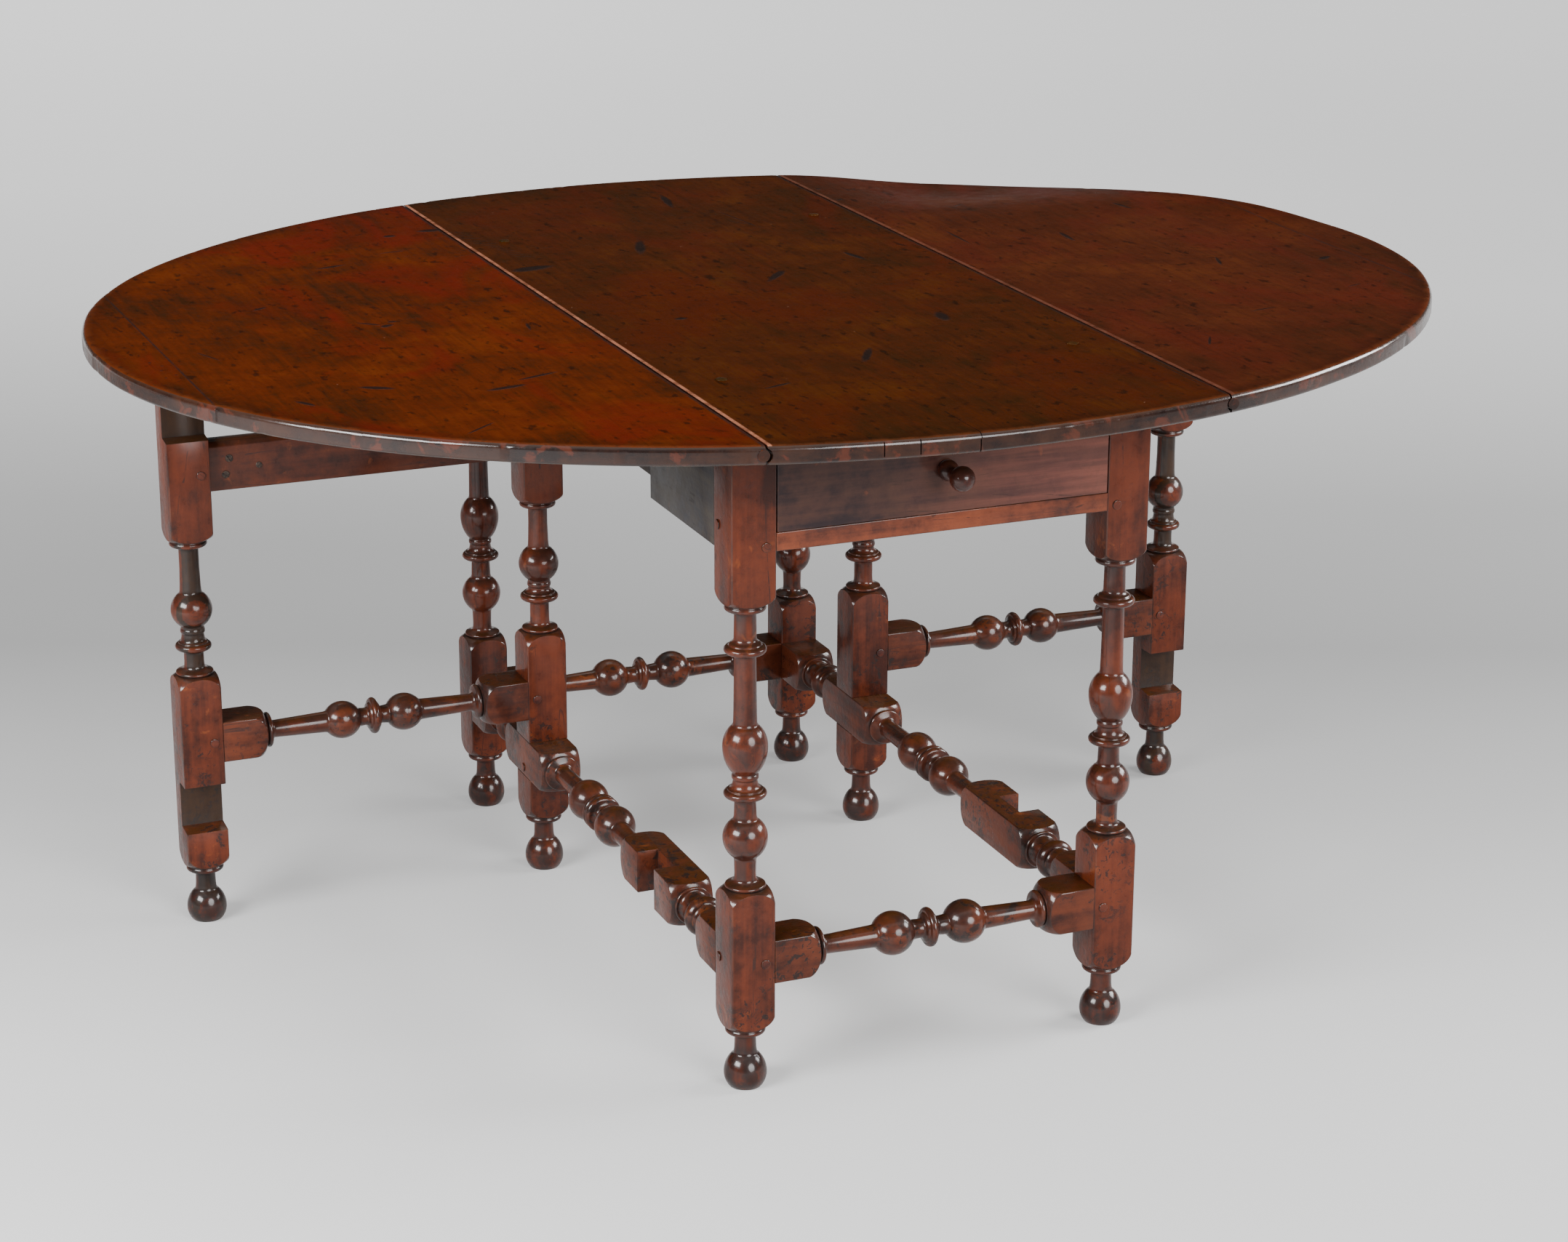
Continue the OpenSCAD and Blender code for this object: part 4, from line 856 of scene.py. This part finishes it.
cut(outer_leg, recess(HALF_W + LAP_PLAY, STRETCHER_Z - HALF_W - 3, STRETCHER_TOP_Z + 3))
cut(outer_leg, recess(19, RAIL_Z - 5, gate_top_z + 20))
soften(outer_leg)
# The outer leg's second paint is near black: painted shade on the back faces of its recesses and on the upper
# recess's sill.
coat(outer_leg, upright_paint, paint("recess_shade_paint", (1, 1, 0.06), red=(0.018, 0.0085, 0.0045),
                                     worn_red=(0.07, 0.024, 0.008), gloss=0.5))
for face in outer_leg.data.polygons:
    deep_shade = face.center.y > (6 - HALF_W) * MM and face.normal.y < -0.5
    sill = abs(face.center.z - (RAIL_Z - 9) * MM) < 0.006 and face.normal.z > 0.5
    face.material_index = 1 if deep_shade or sill else 0
bar = planed("bar", (-GATE_LEG_X + HALF_W, -THIN_HALF, GATE_RAIL_Z),
             (-LEG_X - HALF_W, THIN_HALF, GATE_RAIL_TOP_Z), arris=0)
edges_planed(bar, 5, 1, lambda co: co.y < 0 and co.z > (GATE_RAIL_TOP_Z - 1) * MM)
soften(bar, 0.9)
coat(bar, across_paint)
spindle_half = GATE_REACH / 2 - HALF_W
spindle = squared("spindle", stretcher_outline(spindle_half, 36.5, 21.5), -spindle_half, spindle_half)
laid(spindle, "X")
soften(spindle)
coat(spindle, across_paint)
GATE_PARTS = (("turned", "gate_pivot_leg", inner_leg, (-LEG_X, PIVOT_Y, 0)),
              ("turned", "gate_outer_leg", outer_leg, (-GATE_LEG_X, PIVOT_Y, 0)),
              ("planed", "gate_top_rail", bar, (0, PIVOT_Y, 0)),
              ("turned", "gate_stretcher", spindle, (-LEG_X - GATE_REACH / 2, PIVOT_Y, GATE_STRETCHER_Z)))
for side in ("left", "right"):
    gate = side + "_gate"
    flip = side == "right"
    for made, node, pattern, place in GATE_PARTS:
        piece = moved(pattern, f"{made}_{node}_{side}", place, mirror=flip)
        fit(piece, gate, "frame_paint", f"{node}_{side}")
    sx = 1 if flip else -1
    pegs = [moved(peg_pattern, "peg", (sx * x, PIVOT_Y - HALF_W, z))
            for x in (GATE_LEG_X - HALF_W + PEG_IN, LEG_X + HALF_W - PEG_IN)
            for z in (GATE_RAIL_Z + 22.5, GATE_STRETCHER_Z + 1)]
    fit(joined(f"driven_gate_pegs_{side}", pegs), gate, "frame_paint", f"gate_pegs_{side}")
for pattern in (inner_leg, outer_leg, bar, spindle, peg_pattern):
    bpy.data.objects.remove(pattern)

# Screws and nail: an old mend. Two slotted screws and a rose-headed nail hold the tenon of the
# left gate's top rail.
iron, tree, shader, coords = fresh_material("old_iron")
speckle = figure(tree, coords, 420, 5, 0.5)
rust = ramp(tree, speckle, ((0.4, (0.018, 0.016, 0.015)), (0.72, (0.085, 0.052, 0.036))))
tree.links.new(rust, shader.inputs["Base Color"])
raised(tree, shader, speckle, 0.0003, 0.6)
shader.inputs["Metallic"].default_value = 0.7
shader.inputs["Roughness"].default_value = 0.55
heads = []
for dx, dz, r in ((24, 36, 4.4), (19.5, 18, 4.4), (57, 25, 3.6)):
    head = peg_head("head", r, 0.8)
    if r > 4:
        cut(head, planed("slot", (-6, -3, -0.45), (6, -0.25, 0.45), arris=0))
    head.data.transform(Matrix.Rotation(dz * 0.9, 4, "Y"))
    place = Vector((-GATE_LEG_X + HALF_W + dx, PIVOT_Y - THIN_HALF, GATE_RAIL_Z + dz))
    head.data.transform(Matrix.Translation(place * MM))
    coat(head, iron)
    heads.append(head)
fit(joined("slotted_gate_rail_screws", heads), "left_gate", "iron", "gate_rail_screws")

# Top: one oval cut across three wide boards of the same wood. The middle board is fixed, a leaf is
# hinged on each side of it, and a narrow strip is glued along the outer end of each leaf.
TOP_Z = 724
TOP_HALF_L = 745
TOP_HALF_W = 612
TOP_MID_Z = (UNDER_Z + TOP_Z) / 2
BOARD_EDGE = 242.8
LEAF_EDGE = 245.2
STRIP_X = 680
HOLLOW_R = 7.28
NOSE_R = 5.88
HOLLOW_IN = 4


def along_y(name, x, r, half_l):
    """A round bar along Y at the middle of the boards' thickness."""
    bpy.ops.object.select_all(action="DESELECT")
    bpy.ops.mesh.primitive_cylinder_add(vertices=64, radius=r * MM, depth=2 * half_l * MM,
                                        location=(x * MM, 0, TOP_MID_Z * MM), rotation=(math.pi / 2, 0, 0))
    piece = named(name)
    bpy.ops.object.transform_apply(location=True, rotation=True)
    return piece


def trimmed(piece, at, normal):
    """Saws off what lies beyond a plane, and closes the end."""
    pick(piece)
    bpy.ops.object.mode_set(mode="EDIT")
    bpy.ops.mesh.select_all(action="SELECT")
    bpy.ops.mesh.bisect(plane_co=Vector(at) * MM, plane_no=normal, use_fill=True, clear_outer=True)
    bpy.ops.object.mode_set(mode="OBJECT")


bpy.ops.object.select_all(action="DESELECT")
bpy.ops.mesh.primitive_cylinder_add(vertices=960, radius=1, depth=(TOP_Z - UNDER_Z) * MM,
                                    location=(0, 0, TOP_MID_Z * MM))
slab = named("slab")
slab.scale = (TOP_HALF_L * MM, TOP_HALF_W * MM, 1)
bpy.ops.object.transform_apply(location=True, scale=True)
edges_planed(slab, 6.0, 8, lambda co: co.z > TOP_MID_Z * MM)
edges_planed(slab, 3.4, 4, lambda co: co.z <= TOP_MID_Z * MM)
for v in slab.data.vertices:
    out = Vector((v.co.x / TOP_HALF_L, v.co.y / TOP_HALF_W)).length / MM
    if out > 0.985:
        turn_at = math.atan2(v.co.y, v.co.x)
        ripple = noise.noise(Vector((turn_at * 9, 1.5, 4.0)))
        dent = max(0.0, noise.noise(Vector((turn_at * 60, v.co.z * 60, 2.0))) - 0.42)
        shift = 1 + (0.5 * ripple - 3.0 * dent - 0.5) * MM / 0.7
        v.co.x *= shift
        v.co.y *= shift
        if v.co.z > (TOP_Z - 1) * MM:
            v.co.z -= 1.2 * dent * MM


def board(name, low_x, high_x):
    """The part of the oval slab between two saw cuts."""
    piece = moved(slab, name)
    if low_x is not None:
        trimmed(piece, (low_x, 0, 0), (-1, 0, 0))
    if high_x is not None:
        trimmed(piece, (high_x, 0, 0), (1, 0, 0))
    return piece


def waved(piece, warp=None):
    """Rules lines over a board's faces and lifts their crossings unevenly, by fractions of a millimetre
    and by a warp of the whole board."""
    xs = [v.co.x / MM for v in piece.data.vertices]
    low, high = min(xs), max(xs)
    pick(piece)
    bpy.ops.object.mode_set(mode="EDIT")
    for y in range(-560, 600, 40):
        bpy.ops.mesh.select_all(action="SELECT")
        bpy.ops.mesh.bisect(plane_co=(0, y * MM, 0), plane_no=(0, 1, 0))
    x = low + 35
    while x < high - 15:
        bpy.ops.mesh.select_all(action="SELECT")
        bpy.ops.mesh.bisect(plane_co=(x * MM, 0, 0), plane_no=(1, 0, 0))
        x += 35
    bpy.ops.object.mode_set(mode="OBJECT")
    for v in piece.data.vertices:
        away = min(abs(abs(v.co.x) / MM - LEAF_EDGE), 60) / 60
        lift = 0.5 * away * noise.noise(Vector((v.co.x * 5, v.co.y * 3.2, 7.0)))
        if warp:
            lift += warp(v.co.x / MM, v.co.y / MM)
        v.co.z += lift * MM
    bpy.ops.object.shade_smooth_by_angle(angle=math.radians(35))
    even = piece.modifiers.new("even", "WEIGHTED_NORMAL")
    even.keep_sharp = True
    apply(piece, even)


def eased(x, low, high):
    t = min(max((x - low) / (high - low), 0), 1)
    return t * t * (3 - 2 * t)


def right_warp(x, y):
    """The right leaf has cast: its back hangs a little, and its outer back corner has risen."""
    hang = 10 * eased(x, 244, 420) * eased(y, 280, 470)
    rise = 3.5 * eased(x, 620, 700) * eased(y, 60, 200)
    return rise - hang


def marked(tree, coords, marks, ragged):
    """A mask of stains and scratches. Each has its x, y, length and width in millimetres, and its turn
    in degrees."""
    found = None
    for x, y, long, wide, degrees in marks:
        near = add(tree, "Mapping", {
            "Vector": coords, "Location": (x * MM, y * MM, TOP_Z * MM),
            "Rotation": (0, 0, math.radians(degrees)),
            "Scale": (long / 2 * MM, wide / 2 * MM, 1)}, vector_type="TEXTURE").outputs["Vector"]
        spot = add(tree, "TexGradient", {"Vector": near}, gradient_type="SPHERICAL").outputs["Fac"]
        found = spot if found is None else sums(tree, found, spot, "MAXIMUM")
    uneven = times_plus(tree, ragged, 0.9, -0.45)
    inside = add(tree, "Math", {0: found, 1: 0.02}, operation="GREATER_THAN").outputs[0]
    return sums(tree, spread(tree, sums(tree, found, uneven, "ADD"), 0.10, 0.45), inside)


def oiled_wood(name, olive, brown, red, redness, stains, turn_over, seams_and_highlights=()):
    """Figured hardwood, dark with age and oil: olive where it is dirtiest, red where old stain is left.
    turn_over moves the figure, so that no two boards are alike. The last argument lists lines along Y: dark
    joints, and lighter lines that are painted highlights on arrises lit from the left. Each has its x and
    half width in millimetres, its colour and how strongly that shows."""
    material, tree, shader, coords = fresh_material(name)
    own = stretched(tree, coords, move=(turn_over, turn_over * 2, 0))
    along = stretched(tree, own, (1, 0.07, 1))
    broad = figure(tree, own, 4.5, 3, 0.55, 0.6)
    cloud = figure(tree, own, 17, 6, 0.62, 0.4)
    smudge = figure(tree, own, 46, 8, 0.7, 0.5)
    streak = figure(tree, along, 75, 6, 0.65)
    grain = figure(tree, along, 420, 3, 0.6)
    fine = figure(tree, along, 190, 4, 0.65)
    tone = sums(tree, times_plus(tree, broad, 0.9, sums(tree, cloud, 0.7)),
                times_plus(tree, streak, 0.6, sums(tree, sums(tree, fine, smudge, "ADD"), 0.5)), "ADD")
    gold = (brown[0] * 1.35, brown[1] * 1.55, brown[2] * 1.3)
    colour = ramp(tree, spread(tree, tone, 1.34, 1.86), ((0, olive), (0.55, brown), (1, gold)))
    patches = figure(tree, stretched(tree, own, (1, 0.6, 1), (3, 1, 0)), 6.5, 5, 0.6, 0.8)
    colour = layered(tree, colour, red, spread(tree, patches, 0.50, 0.64, 0, redness))
    dusky = tuple(0.35 * c for c in olive)
    colour = layered(tree, colour, dusky, spread(tree, smudge, 0.56, 0.70, 0, 0.6))
    colour = layered(tree, colour, dusky, spread(tree, streak, 0.55, 0.72, 0, 0.5))
    spot = figure(tree, stretched(tree, own, (1, 0.5, 1)), 95, 5, 0.65)
    colour = layered(tree, colour, dusky, spread(tree, spot, 0.60, 0.65, 0, 0.7))
    colour = layered(tree, colour, gold, spread(tree, grain, 0.62, 0.80, 0, 0.15))

    oval = stretched(tree, coords, (1 / TOP_HALF_L / MM, 1 / TOP_HALF_W / MM, 0))
    out = add(tree, "VectorMath", {0: oval}, operation="LENGTH").outputs["Value"]
    rim = sums(tree, out, sums(tree, smudge, 0.03), "ADD")
    colour = layered(tree, colour, dusky, spread(tree, rim, 0.975, 1.0, 0, 0.3))
    colour = layered(tree, colour, (0.11, 0.030, 0.010), spread(tree, rim, 1.000, 1.014, 0, 0.35))
    for x, half, tint, strength in seams_and_highlights:
        off = sums(tree, sums(tree, axis(tree, coords, "X"), x * MM, "SUBTRACT"), 0, "ABSOLUTE")
        line = sums(tree, spread(tree, off, half * MM, half * 0.6 * MM),
                    spread(tree, smudge, 0.40, 0.54, 0.4, 1))
        colour = layered(tree, colour, tint, sums(tree, line, strength))
    marks = marked(tree, coords, stains, smudge)
    colour = layered(tree, colour, (0.006, 0.0045, 0.004), sums(tree, marks, 0.85))
    cells = add(tree, "TexVoronoi", {"Vector": own, "Scale": 42})
    few = add(tree, "SeparateColor", {"Color": cells.outputs["Color"]}).outputs[0]
    fleck = sums(tree, spread(tree, cells.outputs["Distance"], 0.045, 0.02),
                 add(tree, "Math", {0: few, 1: 0.86}, operation="GREATER_THAN").outputs[0])
    colour = layered(tree, colour, (0.20, 0.11, 0.07), sums(tree, fleck, 0.6))
    tree.links.new(colour, shader.inputs["Base Color"])

    tree.links.new(spread(tree, smudge, 0.3, 0.75, 0.26, 0.42), shader.inputs["Roughness"])
    relief = sums(tree, times_plus(tree, grain, 0.35, smudge), sums(tree, marks, -1.2), "ADD")
    raised(tree, shader, relief, 0.0007, 0.35)
    shader.inputs["Specular IOR Level"].default_value = 0.025
    return material


LEFT_STAINS = [
    (-258, 424, 34, 18, 0), (-310, 411, 20, 14, 0), (-415, 284, 44, 8, 15), (-436, -3, 24, 12, 30),
    (-426, 12, 12, 8, 0), (-450, 10, 34, 6, -40), (-517, -241, 46, 12, -30), (-357, -257, 62, 7, 20),
    (-400, -288, 52, 12, 10), (-597, -273, 34, 8, -60), (-330, 330, 40, 4, 5), (-640, -60, 50, 3, -70),
    (-540, 120, 26, 7, 30), (-700, -62, 4, 4, 0), (-692, -80, 4, 4, 0), (-697, -98, 3.5, 3.5, 0),
    (-687, -120, 4, 4, 0), (-699, -128, 3.5, 3.5, 0), (-470, -420, 60, 4, 40), (-300, -60, 40, 5, 80)]
MIDDLE_STAINS = ([(-236 + 4 * i, 402 - 17 * i, 38, 2.4, -18 - 2 * i) for i in range(5)]
                 + [(-214 + 3 * i, 318 - 13 * i, 30, 2.4, -40 + 3 * i) for i in range(6)]
                 + [(-210, 193, 66, 26, 10), (101, 356, 118, 2.6, -83), (96, 330, 50, 2, -60),
                    (-140, -88, 18, 10, 0), (236, -490, 140, 1.8, 90), (30, 60, 70, 14, 50),
                    (-60, 250, 90, 16, 70), (150, 120, 60, 10, 100), (-20, -300, 70, 12, 60),
                    (120, -180, 50, 18, 80), (-150, -380, 40, 6, 20), (60, 480, 90, 12, 80)])
RIGHT_STAINS = [
    (260, 477, 9, 8, 0), (258, 408, 20, 3, 45), (258, 408, 20, 3, -45), (330, -380, 40, 4, 60),
    (420, 120, 60, 8, 85), (520, -60, 50, 5, 70), (560, 250, 44, 6, 100), (640, -90, 26, 12, 30),
    (450, -280, 36, 4, 10), (380, 330, 30, 4, 40), (300, 160, 90, 4, 88), (600, -220, 30, 3, 20)]
left_wood = oiled_wood("left_leaf_wood", (0.022, 0.0058, 0.0005), (0.052, 0.0080, 0.0005),
                       (0.069, 0.0048, 0.0006), 0.75, LEFT_STAINS, 0.0,
                       [(-246.4, 2.4, BLACK, 0.8), (-STRIP_X, 1.3, BLACK, 0.8)])
middle_wood = oiled_wood("middle_board_wood", (0.018, 0.0057, 0.0006), (0.032, 0.0068, 0.0006),
                         (0.044, 0.0054, 0.0007), 0.5, MIDDLE_STAINS, 5.3,
                         # The lighter line at the left joint is a painted highlight on the arris that faces
                         # the left lamp.
                         [(-241.2, 3.0, (0.27, 0.105, 0.060), 0.8), (241.6, 2.2, BLACK, 0.7)])
right_wood = oiled_wood("right_leaf_wood", (0.0225, 0.0058, 0.0013), (0.038, 0.0077, 0.0019),
                        (0.048, 0.0065, 0.0022), 0.6, RIGHT_STAINS, 9.1,
                        # The lighter line at this leaf's joint is a painted highlight on the arris that faces
                        # the left lamp.
                        [(247.5, 3.0, (0.12, 0.045, 0.028), 0.5), (STRIP_X, 1.3, BLACK, 0.8)])
edge_paint = paint("top_edge_paint", (0.2, 0.2, 1), red=(0.020, 0.0072, 0.0040),
                   worn_red=(0.075, 0.016, 0.007), gloss=0.28, black=0.5, rubbed=0.07, varnish=0.6)
under_wood = paint("top_under_wood", (1, 0.05, 1), red=(0.07, 0.040, 0.022), worn_red=(0.12, 0.06, 0.03),
                   gloss=0.55)


def dressed(piece, wood):
    """Gives a board its wood on top, the darker finish round its edges and bare wood underneath."""
    coat(piece, wood, edge_paint, under_wood)
    for face in piece.data.polygons:
        face.material_index = 2 if face.normal.z < -0.7 else 1 if face.normal.z < 0.87 else 0


# A split and two nicks run in from the middle board's front edge.
middle_board = board("middle_board", -BOARD_EDGE, BOARD_EDGE)
for sx in (-1, 1):
    cut(middle_board, along_y("plane", sx * (BOARD_EDGE - HOLLOW_IN + HOLLOW_R), HOLLOW_R, 640))
soften(middle_board, 1.3, 3, 50)
blades = [planed("blade", (x - wide / 2, -640, low), (x + wide / 2, inner, high), arris=0)
          for x, wide, inner, low, high in (
              (-40.6, 0.8, -528, TOP_Z - 5, TOP_Z + 5), (-41.4, 1.2, -607, UNDER_Z - 5, TOP_Z - 6),
              (-136, 1.2, -599, UNDER_Z + 3, TOP_Z + 5), (-101, 1.2, -603.6, UNDER_Z + 3, TOP_Z + 5))]
cut(middle_board, joined("blades", blades))
waved(middle_board)
dressed(middle_board, middle_wood)
fit(middle_board, "frame", "top_finish", "top_board")
for side, sx, wood in (("left", -1, left_wood), ("right", 1, right_wood)):
    near, far = sorted((sx * LEAF_EDGE, sx * STRIP_X))
    leaf = board(f"{side}_leaf_board", near, far)
    nose = along_y("nose", sx * (LEAF_EDGE - HOLLOW_IN + NOSE_R), NOSE_R, 577.6)
    cut(leaf, nose, "UNION")
    soften(leaf, 0.9, 2, 50)
    waved(leaf, right_warp if sx > 0 else None)
    dressed(leaf, wood)
    fit(leaf, f"{side}_leaf", "top_finish", f"leaf_{side}")
    strip = board(f"{side}_leaf_end_strip", STRIP_X if sx > 0 else None, None if sx > 0 else -STRIP_X)
    soften(strip, 0.35, 2, 50)
    waved(strip, right_warp if sx > 0 else None)
    dressed(strip, wood)
    fit(strip, f"{side}_leaf", "top_finish", f"leaf_strip_{side}")
bpy.data.objects.remove(slab)

# Top pegs: four hardwood pegs driven down through the middle board into the side rails. Their heads
# are cut off level, and three are round and one is square.
PEG_HEAD_PROUD = 0.7
TOP_PEG_R = 6
peg_wood = oiled_wood("top_peg_wood", (0.016, 0.0085, 0.0015), (0.034, 0.0120, 0.0022),
                      (0.058, 0.0105, 0.002), 0.3, [(0, 0, 4, 4, 0)], 2.2)
low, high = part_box("top_pegs")
pegs = []
for sx in (-1, 1):
    for sy in (-1, 1):
        at = Vector(((high.x if sx > 0 else low.x) - sx * TOP_PEG_R * MM,
                     (high.y if sy > 0 else low.y) - sy * TOP_PEG_R * MM, 0))
        if sx > 0 and sy < 0:
            peg = planed("square_peg", (-5, -5, low.z / MM), (5, 5, TOP_Z + PEG_HEAD_PROUD), arris=0.5)
            peg.data.transform(Matrix.Rotation(math.pi / 4, 4, "Z"))
        else:
            peg = bore("round_peg", 0, 0, low.z / MM, TOP_Z + PEG_HEAD_PROUD, r=TOP_PEG_R)
            bpy.ops.object.transform_apply(location=True)
            soften(peg, 0.5, 2, 50)
        peg.data.transform(Matrix.Translation(at))
        coat(peg, peg_wood)
        pegs.append(peg)
fit(joined("driven_top_pegs", pegs), "frame", "top_finish", "top_pegs")

# Leaf hinges: forged iron plates let into the underside across each joint, with their pins and the
# nails that hold them, out of sight when the leaves are up. The drawer's nails are of the same iron.
for node in ("hinge_plates_frame", "hinge_plates_left", "hinge_plates_right", "hinge_pins",
             "hinge_nails_frame", "hinge_nails_left", "hinge_nails_right", "runner_nails", "drawer_nails"):
    coat(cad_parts[node], iron)

# Drawer: a plain board front with its sides nailed into rebates, and a small turned knob.
KNOB_Z = RUNNER_TOP_Z + PLAY + 44.5
# The drawer front's paint is lighter towards its right end: painted light from the lamps on the right.
front_paint_and_light = paint("drawer_front_paint_and_light", (0.05, 1, 1), red=(0.036, 0.0160, 0.0125),
                    worn_red=(0.18, 0.05, 0.02), gloss=0.36, black=0.6,
                    painted_light_end=(-0.06, 0.16, (0.125, 0.040, 0.028)))
front = planed("drawer_front_board", (-FACE_X + 1, FRONT_Y, RUNNER_TOP_Z + PLAY),
               (FACE_X - 1, FRONT_Y + 22, UNDER_Z - 1), BOARD_ARRIS)
bpy.ops.object.shade_smooth_by_angle(angle=math.radians(35))
coat(front, front_paint_and_light)
fit(front, "drawer", "frame_paint", "drawer_front")
BASE_R = 10.8
BALL_R = 12.8
base_low = -math.degrees(math.asin(5 / BASE_R))
base_high = math.degrees(math.acos(6 / BASE_R))
ball_low = -math.degrees(math.acos(5 / BALL_R))
knob = turn("turned_drawer_knob", worn(
    [(0, 0)] + arc(0, 5, BASE_R, BASE_R, base_low, base_high, 14) + [(5, 16.3), (4.6, 18.8)]
    + arc(0, 37, BALL_R, BALL_R, ball_low, 90, 24)))
knob.rotation_euler = (math.pi / 2, 0, 0)
knob.location = (0, FRONT_Y * MM, KNOB_Z * MM)
bpy.ops.object.transform_apply(location=True, rotation=True)
bpy.ops.object.shade_smooth_by_angle(angle=math.radians(35))
coat(knob, peg_paint)
fit(knob, "drawer", "frame_paint", "drawer_knob")

# Drawer box and runners: sides, back and bottom of plain boards, left bare, and two bare runners
# nailed inside the side rails.
bare_wood = paint("bare_drawer_wood", (1, 0.05, 1), red=(0.20, 0.115, 0.058), worn_red=(0.30, 0.18, 0.10),
                  gloss=0.6, black=0.4)
for node in ("drawer_side_left", "drawer_side_right", "drawer_back", "drawer_bottom", "drawer_runner_left",
             "drawer_runner_right"):
    coat(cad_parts[node], bare_wood)
